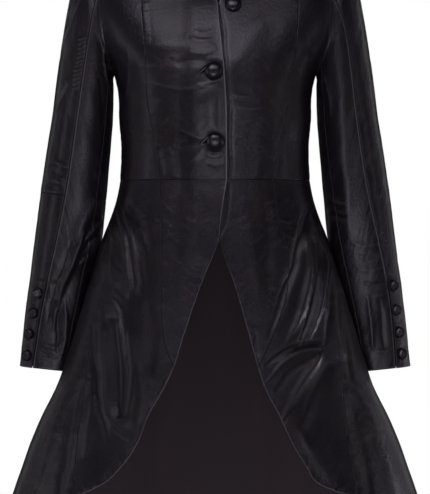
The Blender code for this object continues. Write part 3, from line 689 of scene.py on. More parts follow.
def side_to_shoulder(direction):
    """The side seam to the underarm, then the armhole to the shoulder tip: +1 in front and -1 behind."""

    def line(share):
        row = np.asarray(share) * BODICE_ROWS
        seam_z = WAIST_Z + (UNDERARM_Z - WAIST_Z) * np.clip(row / ROWS_TO_UNDERARM, 0, 1)
        round_armhole = np.clip((row - ROWS_TO_UNDERARM) / ROWS_ON_ARMHOLE, 0, 1)
        turn, z = armhole(UNDERARM_SHARE - direction * UNDERARM_SHARE * round_armhole)
        on_seam = row <= ROWS_TO_UNDERARM
        return np.stack([np.where(on_seam, SIDE_TURN, turn), np.where(on_seam, seam_z, z)], axis=-1)

    return line


def centre_back(share):
    """The centre back seam up to the neck, then the neckline to the neck point."""
    row = np.asarray(share) * BODICE_ROWS
    up = np.clip(row / (BODICE_ROWS - NECKLINE_ROWS), 0, 1)
    round_neck = np.clip((row - BODICE_ROWS + NECKLINE_ROWS) / NECKLINE_ROWS, 0, 1)
    z = WAIST_Z + (BACK_NECK_Z - WAIST_Z) * up - BACK_NECK_Z * round_neck
    return np.stack([BACK_TURN - SIDE_TURN * round_neck, z], axis=-1)


def stand_for(piece, node):
    """The piece rides on the coat in place of this node."""
    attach(piece, "root")
    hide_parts(node)


def hang(sewn, node):
    """The panel and what is sewn to it stand for a node."""
    panel, stitches = sewn
    for piece in (panel, *stitches):
        stand_for(piece, node)


Cut = namedtuple("Cut", "width length area")
BODICE_BACK_CREASES = rows_of(
    Crease,
    (-110, -60, -70, -40, -20, -44, 8.0, 1.6),
    (-118, -30, -75, -14, -25, -22, 7.0, -1.4),
    (-105, -10, -60, 2, -12, -6, 6.0, 1.2),
    (112, -70, 66, -48, 18, -52, 8.0, 1.5),
    (118, -38, 72, -22, 22, -28, 7.0, -1.5),
    (108, -14, 62, 0, 14, -8, 6.0, 1.1),
    (-150, -190, -132, -150, -128, -100, 9.0, 1.8),
    (-136, -195, -118, -150, -112, -96, 7.0, -1.3),
    (150, -186, 134, -148, 126, -104, 9.0, 1.7),
    (138, -190, 120, -146, 110, -100, 7.0, -1.4),
    (-150, -300, -90, -280, -30, -300, 14.0, 1.0),
    (148, -306, 92, -282, 34, -296, 14.0, 1.0),
    (-60, -250, -40, -180, -52, -110, 14.0, -0.9),
    (58, -246, 42, -176, 50, -104, 14.0, -0.8),
)
BODICE_FRONT_CREASES = rows_of(
    Crease,
    (-105, -201, -48, -209, 6, -198, 12.2, 1.43),
    (-60, -180, -32, -183, -7, -180, 7.6, -1.56),
    (-104, -174, -76, -173, -41, -166, 7.6, 0.91),
    (-96, -150, -41, -142, 7, -156, 4.6, 1.30, 0.08),
    (-96, -135, -45, -127, 1, -135, 10.6, -0.78),
    (-26, -150, -14, -144, 6, -148, 3.0, 1.17, 0.25),
    (-16, -163, -38, -160, -72, -154, 3.8, -0.65),
    (-38, -220, -20, -214, 1, -217, 3.0, 0.78),
    (-48, -211, -25, -207, -2, -203, 3.0, -0.65),
    (-32, -230, -17, -224, 1, -229, 3.0, 0.65),
    (-41, -198, -23, -194, -2, -197, 2.7, 0.65),
    (-19, -63, -35, -68, -54, -81, 3.3, 0.91),
    (-20, -57, -38, -54, -63, -52, 3.3, -0.78),
    (-17, -51, -26, -39, -41, -25, 3.8, 0.91),
    (-19, -43, -3, -36, 12, -42, 3.3, 1.30, 0.22),
    (-14, -28, 1, -22, 16, -27, 4.6, -0.65),
    (3, -144, 6, -104, 7, -68, 6.1, -1.04),
    (-10, -135, -5, -104, -7, -74, 7.6, 0.52),
    (-89, -54, -81, -16, -72, 21, 6.1, -1.43),
    (-72, -54, -63, -19, -57, 8, 6.8, 0.91),
    (25, -135, 41, -127, 57, -128, 2.7, 0.65),
    (27, -124, 47, -118, 66, -121, 2.7, -0.65),
    (31, -113, 50, -107, 73, -112, 2.7, 0.65),
    (38, -98, 53, -95, 73, -101, 3.0, -0.52),
    (31, -174, 53, -214, 77, -253, 12.2, 1.04),
    (71, -168, 83, -207, 98, -247, 12.2, -0.91),
    (35, -159, 71, -156, 111, -165, 10.6, -0.65),
    (71, -95, 65, -46, 62, 2, 9.1, 0.78),
    (107, -125, 98, -62, 92, 2, 7.6, -0.78),
    (127, -217, 141, -186, 149, -150, 6.1, -0.78),
    (136, -232, 147, -206, 156, -180, 5.3, 0.52),
    (-148, -186, -139, -160, -142, -127, 4.6, -1.04),
    (-133, -201, -130, -160, -134, -119, 4.6, 0.78),
    (-99, -280, -98, -241, -96, -204, 3.3, -0.33),
    (6, -283, 17, -195, 21, -110, 2.3, -2.21),
    (21, -128, 22, -62, 22, 11, 2.3, -2.21),
    *row_of_puckers(10, (-108.376, -271.32, -103.056, -269.496, -96.216, -272.08), 0.0, 6.84, 2.1, 0.36),
)
BODICE_CREASES = (BODICE_FRONT_CREASES, BODICE_BACK_CREASES)

bodice_edges = {"first": SOFT_SEAM, "last": SOFT_SEAM, "start": SEAM, "end": SEAM}
for side in (RIGHT, LEFT):

    def plain_body(turn, z):
        return body_point(BODICE, side, turn, z)

    lines = framed(side_to_shoulder(-1), centre_back)
    panel = lay_panel(plain_body, side, lines, BACK_STEP, BODICE_CREASES)
    name = "bodice_back_" + SIDE_NAMES[side]
    hang(sew_panel(name + "_skin", *panel, bodice_edges, LEATHER), name)

# Fronts of the bodice: on each side a front and a side front panel of nappa, joined by a princess seam.
# The wearer's right front laps over the left, and the turned front edges open out in a V towards the neck.
FRONT_STEP = 0.00185
LAYER_GAP = 0.0024
FRONT_WRAP_TURN = -0.12
Lap = namedtuple("Lap", "full none")
LAP_ACROSS = Lap(0.025, 0.055)
LAP_BODICE_Z = Lap(-0.15, -0.10)
SIDE_COLUMN = {RIGHT: 1, LEFT: 2}
Course = namedtuple("Course", "z right left")
FRONT_EDGE = rows_of(
    Course,
    (-0.405, -0.0190, -0.0190),
    (-0.298, -0.0180, -0.0180),
    (-0.217, -0.0130, -0.0150),
    (-0.165, -0.0070, -0.0040),
    (-0.131, -0.0026, 0.0087),
    (-0.090, 0.0270, 0.0320),
    (-0.045, 0.0540, 0.0550),
    (0.000, 0.0720, 0.0720),
)
PRINCESS_SEAM = rows_of(
    Course,
    (-0.405, 0.084, 0.086),
    (-0.356, 0.089, 0.095),
    (-0.283, 0.102, 0.111),
    (-0.227, 0.104, 0.119),
    (-0.131, 0.110, 0.125),
    (-0.060, 0.108, 0.116),
    (0.000, 0.104, 0.106),
)
BODICE_FRONT_CUT = {RIGHT: Cut(0.135, 0.42, 0.0426), LEFT: Cut(0.140, 0.42, 0.0462)}
SIDE_FRONT_CUT = {RIGHT: Cut(0.125, 0.40, 0.0367), LEFT: Cut(0.115, 0.40, 0.0322)}
# Front edges get a full painted highlight line and a painted shade line at the rim
FRONT_TURNED = Edge(0.0026, 0.0030, 0.0000, 0.0012, 0.00018, 0.014, 0.012, 1.0, 1.0)
PRINCESS_ROWS = (StitchRow("last", 0.0025, 0.48, 0.98), StitchRow("last", 0.0120, 0.48, 0.98))

# A bound buttonhole at each fastened button: the button's middle and the hole's two ends, in a crease's mm
Buttonhole = namedtuple("Buttonhole", "name button_x button_drop from_x from_drop to_x to_drop")
BUTTONHOLES = (
    Buttonhole("buttonhole_middle", -2.0, -168.0, -24.0, -162.8, -9.5, -176.0),
    Buttonhole("buttonhole_low", 0.0, -58.5, -23.0, -54.8, -8.5, -67.0),
)
DISH_DEPTH = 0.0019
DISH_REACH = 15.2
DISH_SHARPNESS = 6
HOLE_PARTS = 18
HOLE_TAPER = (0.14, 0.86)
# A buttonhole across: painted highlight on its lip, and painted shade in its slits
WeltPoint = namedtuple("WeltPoint", "beside height rub slit")
WELT = rows_of(
    WeltPoint,
    (-0.0034, -0.0004, 0.00, True),
    (-0.0031, 0.0003, 0.00, True),
    (-0.0017, 0.0003, 0.00, False),
    (-0.0013, 0.0009, 0.15, False),
    (-0.0006, 0.0012, 0.45, False),
    (0.0000, 0.0012, 0.45, False),
    (0.0007, 0.0009, 0.15, False),
    (0.0011, 0.0003, 0.00, True),
    (0.0031, 0.0003, 0.00, True),
    (0.0034, -0.0004, 0.00, True),
)
# Black matt faces that paint the shade in a buttonhole's slits
PAINTED_SLIT_SHADE = (0.0020, 0.0016, 0.0020, 1.0)
PAINTED_SLIT_SHADE_FINISH = plain_finish("buttonhole_painted_shade", Base_Color=PAINTED_SLIT_SHADE, Roughness=0.90, Specular_IOR_Level=0.10)
TURN_PARTS = 125
COURSE_PARTS = 200
SHOULDER_PARTS = 100


def level(vectors):
    """The vectors laid level, at length 1."""
    return unit(vectors * (1, 1, 0))


def lap_share(value, lap):
    """1 where the lap is full and 0 where there is none."""
    return ease(value, lap.none, lap.full)


def turn_at(sections, across, z):
    """The turn on the front of the body at this distance from the centre line."""
    turns = np.linspace(FRONT_WRAP_TURN, SIDE_TURN, TURN_PARTS)
    reach = [body_point(sections, LEFT, turns, height + 0 * turns)[:, 0] for height in z]
    return np.array([np.interp(a, points, turns) for a, points in zip(across, reach)])


def even_line(sections, turns, heights):
    """A line of turns and heights, read at shares of its length on the body."""
    run = run_along(body_point(sections, LEFT, turns, heights))
    run = run / run[-1]
    return lambda share: np.stack([np.interp(share, run, turns), np.interp(share, run, heights)], axis=-1)


def course(sections, rows, side, start_z, end_z, end_turn=None):
    """A seam or edge as a line from one height to another."""
    table = np.array(rows)
    heights = np.linspace(start_z, end_z, COURSE_PARTS)
    turns = turn_at(sections, smooth(heights, table[:, 0], table[:, SIDE_COLUMN[side]]), heights)
    if end_turn is not None:
        turns[-1] = end_turn
    return even_line(sections, turns, heights)


def shoulder_height(across):
    """The height of the shoulder ridge at this distance from the centre line."""
    z = np.linspace(0, SHOULDER_TIP_Z, SHOULDER_PARTS)
    return np.interp(across, section_at(BODICE, z)[0], z)


def bodice_surface(side):
    """The bodice on one side, with the right front lifted over the left one."""

    def surface(turn, z):
        base = body_point(BODICE, side, turn, z)
        if side == LEFT:
            return base
        lapped = lap_share(side * base[..., 0], LAP_ACROSS) * lap_share(z, LAP_BODICE_Z) * (turn < SIDE_TURN)
        out = side * normals_of(lambda u, v: body_point(BODICE, side, u, v), turn, z)
        return base + level(out) * (lapped * (WALL + LAYER_GAP))[..., None]

    return surface


def button_dishes(points):
    """How far the leather is drawn in round each fastened button."""
    across, drop = front_view(points)
    reach = [np.hypot(across - hole.button_x, drop - hole.button_drop) / DISH_REACH for hole in BUTTONHOLES]
    return DISH_DEPTH * sum(np.exp(-(each**DISH_SHARPNESS)) for each in reach)


def bind_buttonholes(panel):
    """A rolled lip with painted highlight and a slit of painted shade on both sides of it, laid along each
    buttonhole on the panel.
    """
    points, faces = [v.co for v in panel.data.vertices], [f.vertices for f in panel.data.polygons]
    skin = BVHTree.FromPolygons(points, faces)
    eye = Vector((0.0, -VIEW_DISTANCE, VIEW_Z))
    profile = np.array(WELT)
    taper = np.sin(np.pi * np.linspace(*HOLE_TAPER, HOLE_PARTS))[:, None, None]
    made = []
    for hole in BUTTONHOLES:
        line, up = [], []
        for share in np.linspace(0, 1, HOLE_PARTS):
            across = hole.from_x + (hole.to_x - hole.from_x) * share
            drop = hole.from_drop + (hole.to_drop - hole.from_drop) * share
            aim = Vector((across / MM_IN_METRE, 0.0, WAIST_Z - drop / MM_IN_METRE)) - eye
            place, normal, _, _ = skin.ray_cast(eye, aim.normalized())
            line.append(place)
            up.append(normal)
        line, up = np.array(line), unit(np.mean(up, axis=0))
        beside = unit(np.cross(line[-1] - line[0], up))
        points = line[:, None] + taper * (profile[:, :1] * beside + profile[:, 1:2] * up)
        index = np.arange(points.shape[0] * points.shape[1]).reshape(points.shape[:2])
        after = np.roll(index, -1, axis=1)
        faces = np.stack([index[:-1], after[:-1], after[1:], index[1:]], -1).reshape(-1, 4).tolist()
        faces += [index[0, ::-1].tolist(), index[-1].tolist()]
        # Painted highlight on the lip
        with_painted_highlight = np.tile(profile[:, 2], HOLE_PARTS)
        piece = add_piece(hole.name, points.reshape(-1, 3), faces, LEATHER, rub=with_painted_highlight)
        # The slits get the black finish as painted shade
        piece.data.materials.append(PAINTED_SLIT_SHADE_FINISH)
        painted_shade_faces = np.append(np.tile(profile[:, 3], HOLE_PARTS - 1), [1, 1])
        piece.data.polygons.foreach_set("material_index", painted_shade_faces.astype(np.int32))
        made.append(piece)
    return made


for side in (RIGHT, LEFT):
    surface = bodice_surface(side)
    edge = course(BODICE, FRONT_EDGE, side, WAIST_Z, 0.0, SIDE_TURN)
    seam_top = shoulder_height(PRINCESS_SEAM[-1][SIDE_COLUMN[side]])
    seam = course(BODICE, PRINCESS_SEAM, side, WAIST_Z, seam_top, SIDE_TURN)
    panels = {
        "bodice_front_": (edge, seam, {**bodice_edges, "first": FRONT_TURNED}, BODICE_FRONT_CUT),
        "bodice_side_front_": (seam, side_to_shoulder(1), bodice_edges, SIDE_FRONT_CUT),
    }
    for part, (first, last, edges, cut) in panels.items():
        base, out, relief, rub = lay_panel(surface, side, framed(first, last), FRONT_STEP, BODICE_CREASES)
        name = part + SIDE_NAMES[side]
        lapped = name == "bodice_front_right"
        relief = relief - button_dishes(base) * lapped
        rows = PRINCESS_ROWS if part == "bodice_front_" else ()
        skin, stitches = sew_panel(name + "_skin", base, out, relief, rub, edges, LEATHER, stitch_rows=rows)
        holes = bind_buttonholes(skin) if lapped else []
        hang((skin, stitches + holes), name)

# Stand collar: a plain band of nappa that stands round the neck from one front edge to the other.
# Its foot is sewn to the neckline, and its top and ends are turned edges.
# Turned edges get a faint painted highlight line
TURNED = Edge(0.0018, 0.0011, 0.0006, 0.0003, 0.00030, 0.014, 0.012, 0.25, 0.0)
COLLAR_END_Z = -0.052
COLLAR_HEIGHT = 0.035
COLLAR_LEAN = 0.25
COLLAR_SINK = 0.003
COLLAR_PARTS = 45
COLLAR_ROW = StitchRow("end", 0.005, 0.02, 0.98)
collar_halves = []
for side in (RIGHT, LEFT):
    shares = np.linspace(0, 1, COLLAR_PARTS)
    front = course(BODICE, FRONT_EDGE, side, COLLAR_END_Z, 0.0, SIDE_TURN)(shares)
    back = straight((SIDE_TURN, 0.0), (BACK_TURN, BACK_NECK_Z))(shares)[1:]
    line = np.concatenate([front, back])
    collar_halves.append(body_point(BODICE, side, line[:, 0], line[:, 1]))
foot = np.concatenate([collar_halves[0], collar_halves[1][-2::-1]])
rise = unit(COLLAR_LEAN * level(-foot) + (0, 0, 1))
collar_heights = (COLLAR_HEIGHT + COLLAR_SINK) * spread_out(COLLAR_HEIGHT + COLLAR_SINK, FRONT_STEP)
base = foot[None] + rise[None] * (collar_heights - COLLAR_SINK)[:, None, None]
out = np.repeat(unit(np.cross(np.gradient(foot, axis=0), rise))[None], len(base), axis=0)
collar_edges = {"first": TURNED, "last": TURNED, "start": SEAM, "end": TURNED}
flat = np.zeros(base.shape[:2])
collar = sew_panel(
    "stand_collar_skin", base, out, flat, flat, collar_edges, LEATHER, stitch_rows=[COLLAR_ROW]
)
hang(collar, "stand_collar")

# Skirt: on each side a front, a side and a back panel of nappa, flared and hung from the waist seam.
# The fronts are cut away to the hem, and the hems and the cutaway edges are turned in and sewn down.
LAP_SKIRT_Z = Lap(-0.50, -0.56)
SKIRT = rows_of(
    Section,
    (-0.9700, 0.3400, 0.142, 0.244, 2.10),
    (-0.8815, 0.3080, 0.137, 0.225, 2.10),
    (-0.8000, 0.2790, 0.131, 0.206, 2.10),
    (-0.6950, 0.2360, 0.122, 0.182, 2.15),
    (-0.5600, 0.1930, 0.111, 0.143, 2.20),
    (-0.4955, 0.1725, 0.105, 0.120, 2.20),
    (-0.4650, 0.1600, 0.102, 0.107, 2.20),
    (-0.4350, 0.1500, 0.099, 0.094, 2.20),
    (-0.4050, 0.1440, 0.095, 0.083, 2.20),
    (-0.3900, 0.1425, 0.094, 0.080, 2.20),
)
SKIRT_EDGE = rows_of(
    Course,
    (-0.4975, -0.0056, 0.0065),
    (-0.4575, -0.0100, -0.0080),
    (-0.4050, -0.0190, -0.0190),
)
FRONT_SEAM = rows_of(
    Course,
    (-0.6861, 0.0609, 0.0639),
    (-0.6608, 0.0719, 0.0769),
    (-0.6205, 0.0793, 0.0944),
    (-0.5602, 0.0797, 0.1103),
    (-0.5100, 0.0796, 0.1087),
    (-0.4650, 0.0796, 0.0954),
    (-0.4050, 0.0825, 0.0870),
)
SIDE_SEAM = rows_of(
    Course,
    (-0.8813, 0.2133, 0.2133),
    (-0.7886, 0.2052, 0.1998),
    (-0.7305, 0.1974, 0.1924),
    (-0.6203, 0.1850, 0.1820),
    (-0.5456, 0.1770, 0.1782),
    (-0.4940, 0.1631, 0.1641),
    (-0.4500, 0.1495, 0.1495),
    (-0.4050, 0.1385, 0.1385),
)
CUTAWAY_EDGE = rows_of(
    Course,
    (-0.8813, 0.2133, 0.2133),
    (-0.8754, 0.1965, 0.1910),
    (-0.8639, 0.1724, 0.1613),
    (-0.8346, 0.1391, 0.1361),
    (-0.8008, 0.1159, 0.1159),
    (-0.7588, 0.0992, 0.0957),
    (-0.7144, 0.0739, 0.0730),
    (-0.6861, 0.0609, 0.0639),
    (-0.6407, 0.0467, 0.0513),
    (-0.6004, 0.0336, 0.0402),
    (-0.5562, 0.0179, 0.0271),
    (-0.5210, 0.0035, 0.0140),
    (-0.4975, -0.0056, 0.0065),
)
HemPoint = namedtuple("HemPoint", "turn z")
BACK_HEM = (HemPoint(0.24, -0.8813), HemPoint(0.36, -0.898), HemPoint(0.5, -0.906), HemPoint(1.0, -0.935))

ArmDent = namedtuple("ArmDent", "turn spread z above below depth")
ARM_DENT = ArmDent(0.574, 0.056, -0.698, 0.09, 0.03, 0.027)
SKIRT_FRONT_CREASES = rows_of(
    Crease,
    (22, -10, 17, 39, 8, 90, 2.3, -2.38),
    (-155, 36, -139, 90, -131, 182, 4.6, 2.21),
    (-146, 33, -124, 98, -117, 176, 4.6, 2.21),
    (-151, 34, -131, 93, -124, 179, 3.8, -1.70),
    (-160, 39, -159, 98, -160, 157, 4.6, 1.53),
    (-137, 30, -110, 83, -101, 159, 7.6, -1.36),
    (-154, 177, -143, 204, -136, 244, 3.0, 2.21, 0.22),
    (-152, 209, -149, 291, -148, 364, 16.7, -8.16),
    (-172, 191, -172, 282, -166, 364, 6.8, 2.55, 0.05),
    (-186, 214, -181, 291, -160, 404, 6.8, -2.38),
    (-131, 224, -127, 291, -136, 358, 12.2, 2.04),
    (-166, 358, -148, 375, -128, 359, 9.1, 1.02),
    (-157, 379, -145, 390, -131, 397, 3.3, 0.68, 0.12),
    (-151, 372, -137, 382, -125, 387, 3.3, -0.51),
    (-186, 321, -190, 372, -201, 425, 9.1, 1.87),
    (-221, 303, -248, 394, -269, 486, 12.2, 2.04),
    (-200, 303, -221, 394, -236, 486, 9.1, -1.70),
    (-102, 182, -96, 242, -99, 303, 10.6, -1.36),
    (-117, 273, -111, 326, -121, 372, 7.6, 1.36),
    (144, 33, 126, 106, 82, 242, 6.8, -4.76),
    (139, 75, 142, 159, 109, 249, 6.1, 4.08, 0.07),
    (150, 84, 155, 156, 124, 261, 4.9, -3.74),
    (165, 95, 167, 163, 138, 253, 4.9, 3.40),
    (174, 115, 177, 182, 167, 253, 5.3, -2.72),
    (185, 122, 208, 200, 241, 318, 5.3, 3.40, 0.07),
    (191, 163, 199, 242, 209, 309, 6.1, -1.70),
    (161, 256, 123, 264, 76, 306, 3.8, 3.06, 0.16),
    (162, 247, 124, 253, 76, 282, 4.6, -3.06),
    (162, 259, 139, 300, 97, 364, 7.6, 3.74, 0.08),
    (149, 270, 123, 285, 89, 323, 6.1, -1.70),
    (176, 276, 156, 318, 127, 382, 10.6, -2.38),
    (66, 232, 62, 258, 73, 293, 4.6, -1.70),
    (97, 59, 106, 63, 117, 62, 2.7, 0.59),
    (100, 71, 109, 75, 120, 75, 2.7, -0.51),
    (100, 80, 112, 87, 121, 89, 2.7, 0.51),
    (106, 95, 114, 100, 123, 101, 2.7, -0.34),
    (182, 270, 194, 276, 208, 279, 2.4, -1.19),
    (220, 328, 250, 394, 278, 486, 10.6, 2.38),
    (205, 328, 223, 410, 240, 486, 9.1, -1.70),
    (126, 376, 156, 428, 185, 470, 9.1, 1.70),
    (-54, 14, -46, 90, -55, 188, 12.2, 1.02),
    (-23, 14, -16, 68, -25, 142, 10.6, -0.85),
    (38, 24, 53, 90, 66, 188, 10.6, 1.02),
    (71, 24, 80, 90, 80, 188, 9.1, -1.02),
)
SKIRT_BACK_CREASES = rows_of(
    Crease,
    (50, 150, 67, 425, 84, 700, 26.0, 10.0),
    (85, 150, 126, 425, 166, 700, 26.0, -10.0),
    (115, 160, 186, 430, 257, 700, 28.0, 10.0),
    (-45, 170, -76, 435, -106, 700, 28.0, 9.0),
    (-85, 140, -135, 420, -185, 700, 26.0, -10.0),
    (-120, 170, -198, 435, -276, 700, 28.0, 10.0),
    (-120, 12, -100, 40, -92, 110, 6.0, 1.6),
    (-100, 6, -78, 44, -70, 120, 6.0, -1.4),
    (-84, 8, -58, 40, -50, 96, 6.0, 1.2),
    (118, 10, 102, 44, 96, 116, 6.0, 1.5),
    (100, 8, 80, 40, 74, 112, 6.0, -1.4),
    (82, 6, 60, 42, 54, 104, 6.0, 1.1),
    (-40, 20, -30, 80, -34, 170, 9.0, -1.2),
    (38, 24, 30, 90, 36, 180, 9.0, -1.1),
    (-190, 200, -200, 300, -230, 430, 8.0, 1.8),
    (-168, 210, -172, 310, -190, 440, 8.0, -1.6),
    (188, 190, 202, 300, 226, 430, 8.0, 1.8),
    (166, 200, 174, 310, 186, 440, 8.0, -1.6),
    (-20, 260, -14, 380, -26, 500, 10.0, 1.4),
    (26, 280, 20, 390, 32, 510, 10.0, 1.3),
    (-110, 330, -122, 400, -150, 500, 9.0, 1.4),
    (112, 320, 124, 410, 148, 510, 9.0, 1.4),
)
SKIRT_CREASES = (SKIRT_FRONT_CREASES, SKIRT_BACK_CREASES)
# Skirt seams get a half-strength painted shade line at the rim, and hems a painted highlight line
SKIRT_SEAM = SOFT_SEAM._replace(depth=0.0007, dark=0.5)
HEM = TURNED._replace(pucker=0.00110, wave=0.0075, reach=0.009, worn=0.65)
SKIRT_SIDE_IN_VIEW = Span(0.0, 0.22, 0.0026)
HEM_INSET = {"front": 0.007, "side": 0.007, "back": 0.012}
HEM_PARTS = 120


def arm_dent(base, turn):
    """How far the hanging sleeve presses the skirt in at these points."""
    down = np.where(base[..., 2] > ARM_DENT.z, ARM_DENT.above, ARM_DENT.below)
    up_body = (base[..., 2] - ARM_DENT.z) / down
    round_body = (turn - ARM_DENT.turn) / ARM_DENT.spread
    return ARM_DENT.depth * np.exp(-0.5 * (up_body**2 + round_body**2))


def skirt_surface(side):
    """The skirt on one side, lapped at the front and pressed in beside the sleeve."""

    def plain(turn, z):
        return body_point(SKIRT, side, turn, z)

    def surface(turn, z):
        base = plain(turn, z)
        out = side * normals_of(plain, turn, z)
        lapped = lap_share(side * base[..., 0], LAP_ACROSS) * lap_share(z, LAP_SKIRT_Z) * (turn < SIDE_TURN)
        lift = lapped * (WALL + LAYER_GAP) * (side == RIGHT)
        return base + level(out) * (lift - arm_dent(base, turn))[..., None]

    return surface


def skirt_lines(side):
    """The four seam lines round each skirt panel: first, last, start at the waist and end at the hem."""
    fork, seam_end, hem_start = SKIRT_EDGE[0].z, FRONT_SEAM[0].z, SIDE_SEAM[0].z
    edge = course(SKIRT, SKIRT_EDGE, side, WAIST_Z, fork)
    front_seam = course(SKIRT, FRONT_SEAM, side, WAIST_Z, seam_end)
    side_seam = course(SKIRT, SIDE_SEAM, side, WAIST_Z, hem_start)
    centre = straight((BACK_TURN, WAIST_Z), (BACK_TURN, BACK_HEM[-1].z))
    hem_turn = np.linspace(side_seam(1.0)[0], BACK_TURN, HEM_PARTS)
    hem_z = np.interp(hem_turn, [hem_turn[0]] + [p.turn for p in BACK_HEM[1:]], [p.z for p in BACK_HEM])
    front_cut = course(SKIRT, CUTAWAY_EDGE, side, fork, seam_end)
    side_cut = course(SKIRT, CUTAWAY_EDGE, side, seam_end, hem_start)
    return {
        "front": (edge, front_seam, straight(edge(0.0), front_seam(0.0)), front_cut),
        "side": (front_seam, side_seam, straight(front_seam(0.0), side_seam(0.0)), side_cut),
        "back": (side_seam, centre, straight(side_seam(0.0), centre(0.0)), even_line(SKIRT, hem_turn, hem_z)),
    }


for side in (RIGHT, LEFT):
    surface = skirt_surface(side)
    for part, lines in skirt_lines(side).items():
        first_edge = FRONT_TURNED if part == "front" else SKIRT_SEAM
        edges = {"first": first_edge, "last": SKIRT_SEAM, "start": SEAM, "end": HEM}
        step, columns = (BACK_STEP, [SKIRT_SIDE_IN_VIEW]) if part == "back" else (FRONT_STEP, [])
        panel = lay_panel(surface, side, lines, step, SKIRT_CREASES, columns)
        name = f"skirt_{part}_{SIDE_NAMES[side]}"
        hem_row = [StitchRow("end", HEM_INSET[part], 0.01, 0.99)]
        sewn = sew_panel(name + "_skin", *panel, edges, LEATHER, stitch_rows=hem_row)
        hang(sewn, name)

# Lining of the skirt's back: one panel of thin dark woven cloth, hung inside both back panels from the waist.
# Its hem is shorter than the leather's, and it shows between the cutaway fronts.
LINING_WALL = 0.0008
LINING_HEM_RISE = 0.018
LINING_RISE_Z = (-0.60, -0.90)
LINING_DEPTH = 0.0040
LINING_STEP = 0.0070
LINING_DARK = (0.0268, 0.0162, 0.0236, 1.0)
LINING_LIGHT = (0.0450, 0.0277, 0.0390, 1.0)
LINING_GLOSS = (0.62, 0.78)
LINING_CLOUDS = Noise(9.0, 3.0)
CLOUD_SHARE = 0.6
WOVEN_SHARE = 0.5
WOVEN_HEIGHT = 0.0002
THREAD_SCALE = 900.0
THREAD_WAVER = 0.4


def make_lining():
    """Plain woven cloth with a faint sheen along its threads."""
    made = plain_finish("lining_cloth", Sheen_Weight=0.08, Specular_IOR_Level=0.35)
    tree = made.node_tree
    place = add_node(tree, "ShaderNodeTexCoord").outputs["Object"]
    threads = []
    for direction in ("X", "Z"):
        wave = add_node(tree, "ShaderNodeTexWave", Vector=place, Scale=THREAD_SCALE, Distortion=THREAD_WAVER)
        wave.bands_direction = direction
        threads.append(wave.outputs["Fac"])
    woven = add_math(tree, "MULTIPLY", *threads)
    cloud = add_noise(tree, place, LINING_CLOUDS)["Fac"]
    thread_shade = add_math(tree, "MULTIPLY", woven, WOVEN_SHARE)
    shade = add_math(tree, "ADD", thread_shade, add_math(tree, "MULTIPLY", cloud, CLOUD_SHARE))
    raised = add_node(tree, "ShaderNodeBump", Height=woven, Strength=0.3, Distance=WOVEN_HEIGHT)
    set_inputs(
        tree,
        tree.nodes["Principled BSDF"],
        Base_Color=add_blend(tree, shade, LINING_DARK, LINING_LIGHT),
        Roughness=add_range(tree, cloud, *GLOSS_RANGE, *LINING_GLOSS),
        Normal=raised.outputs["Normal"],
    )
    return made


LINING = make_lining()
lining_halves = []
for side in (RIGHT, LEFT):
    surface = skirt_surface(side)
    turn, z = panel_grid(surface, *skirt_lines(side)["back"], LINING_STEP)
    z = z + LINING_HEM_RISE * ease(z, *LINING_RISE_Z)
    base = surface(turn, z)
    out = side * normals_of(surface, turn, z)
    relief, _ = crease_relief(base, out, *SKIRT_CREASES)
    lining_halves.append((base + out * (relief - LINING_DEPTH)[..., None], out))
base, out = [np.concatenate([half[0], half[1][:, -2::-1]], axis=1) for half in zip(*lining_halves)]
lining_edges = dict.fromkeys(("first", "last", "start", "end"), TURNED._replace(depth=0.0004, inside=0.0003))
flat = np.zeros(base.shape[:2])
lining = sew_panel("skirt_lining_cloth", base, out, flat, flat, lining_edges, LINING, LINING_WALL)
hang(lining, "skirt_lining")

# Sleeves: a narrow front and a wide back panel of nappa each, set into the armhole with a little fullness.
# The right back panel is joined at the elbow, and near the wrist the back laps over the front as a cuff vent.
Ring = namedtuple("Ring", "outer_x outer_z inner_x inner_z middle_y half_depth squareness")
SLEEVE = rows_of(
    Ring,
    (0.2090, -0.084, 0.1545, -0.2520, 0.004, 0.0600, 2.00),
    (0.2225, -0.135, 0.1540, -0.2640, 0.007, 0.0620, 2.05),
    (0.2376, -0.228, 0.1545, -0.2900, 0.012, 0.0610, 2.10),
    (0.2480, -0.305, 0.1570, -0.3350, 0.017, 0.0580, 2.20),
    (0.2635, -0.404, 0.1645, -0.4180, 0.024, 0.0540, 2.30),
    (0.2755, -0.496, 0.1730, -0.5000, 0.032, 0.0505, 2.40),
    (0.2840, -0.560, 0.1870, -0.5680, 0.038, 0.0475, 2.50),
    (0.2915, -0.620, 0.2005, -0.6300, 0.043, 0.0445, 2.60),
    (0.2985, -0.688, 0.2140, -0.6970, 0.046, 0.0420, 2.70),
)
ELBOW_JOIN = 5.2
ARMHOLE_CLEAR = 0.02
SLEEVE_STEP = 0.0019
SHARE_STEP = 1e-3
RING_STEP = 1e-2
SLEEVE_BEHIND = Span(0.0, 0.54, 0.0055)
SLEEVE_GATHERS = Span(0.20, 0.58, 0.0013)
VENT_TOP = 6.85
VENT_EASE = 0.15
VENT_RISE = 0.0018
VENT_SINK = 0.4 * VENT_RISE
VENT_REACH = 0.030
CUFF_ROW = StitchRow("end", 0.030, 0.02, 0.98)
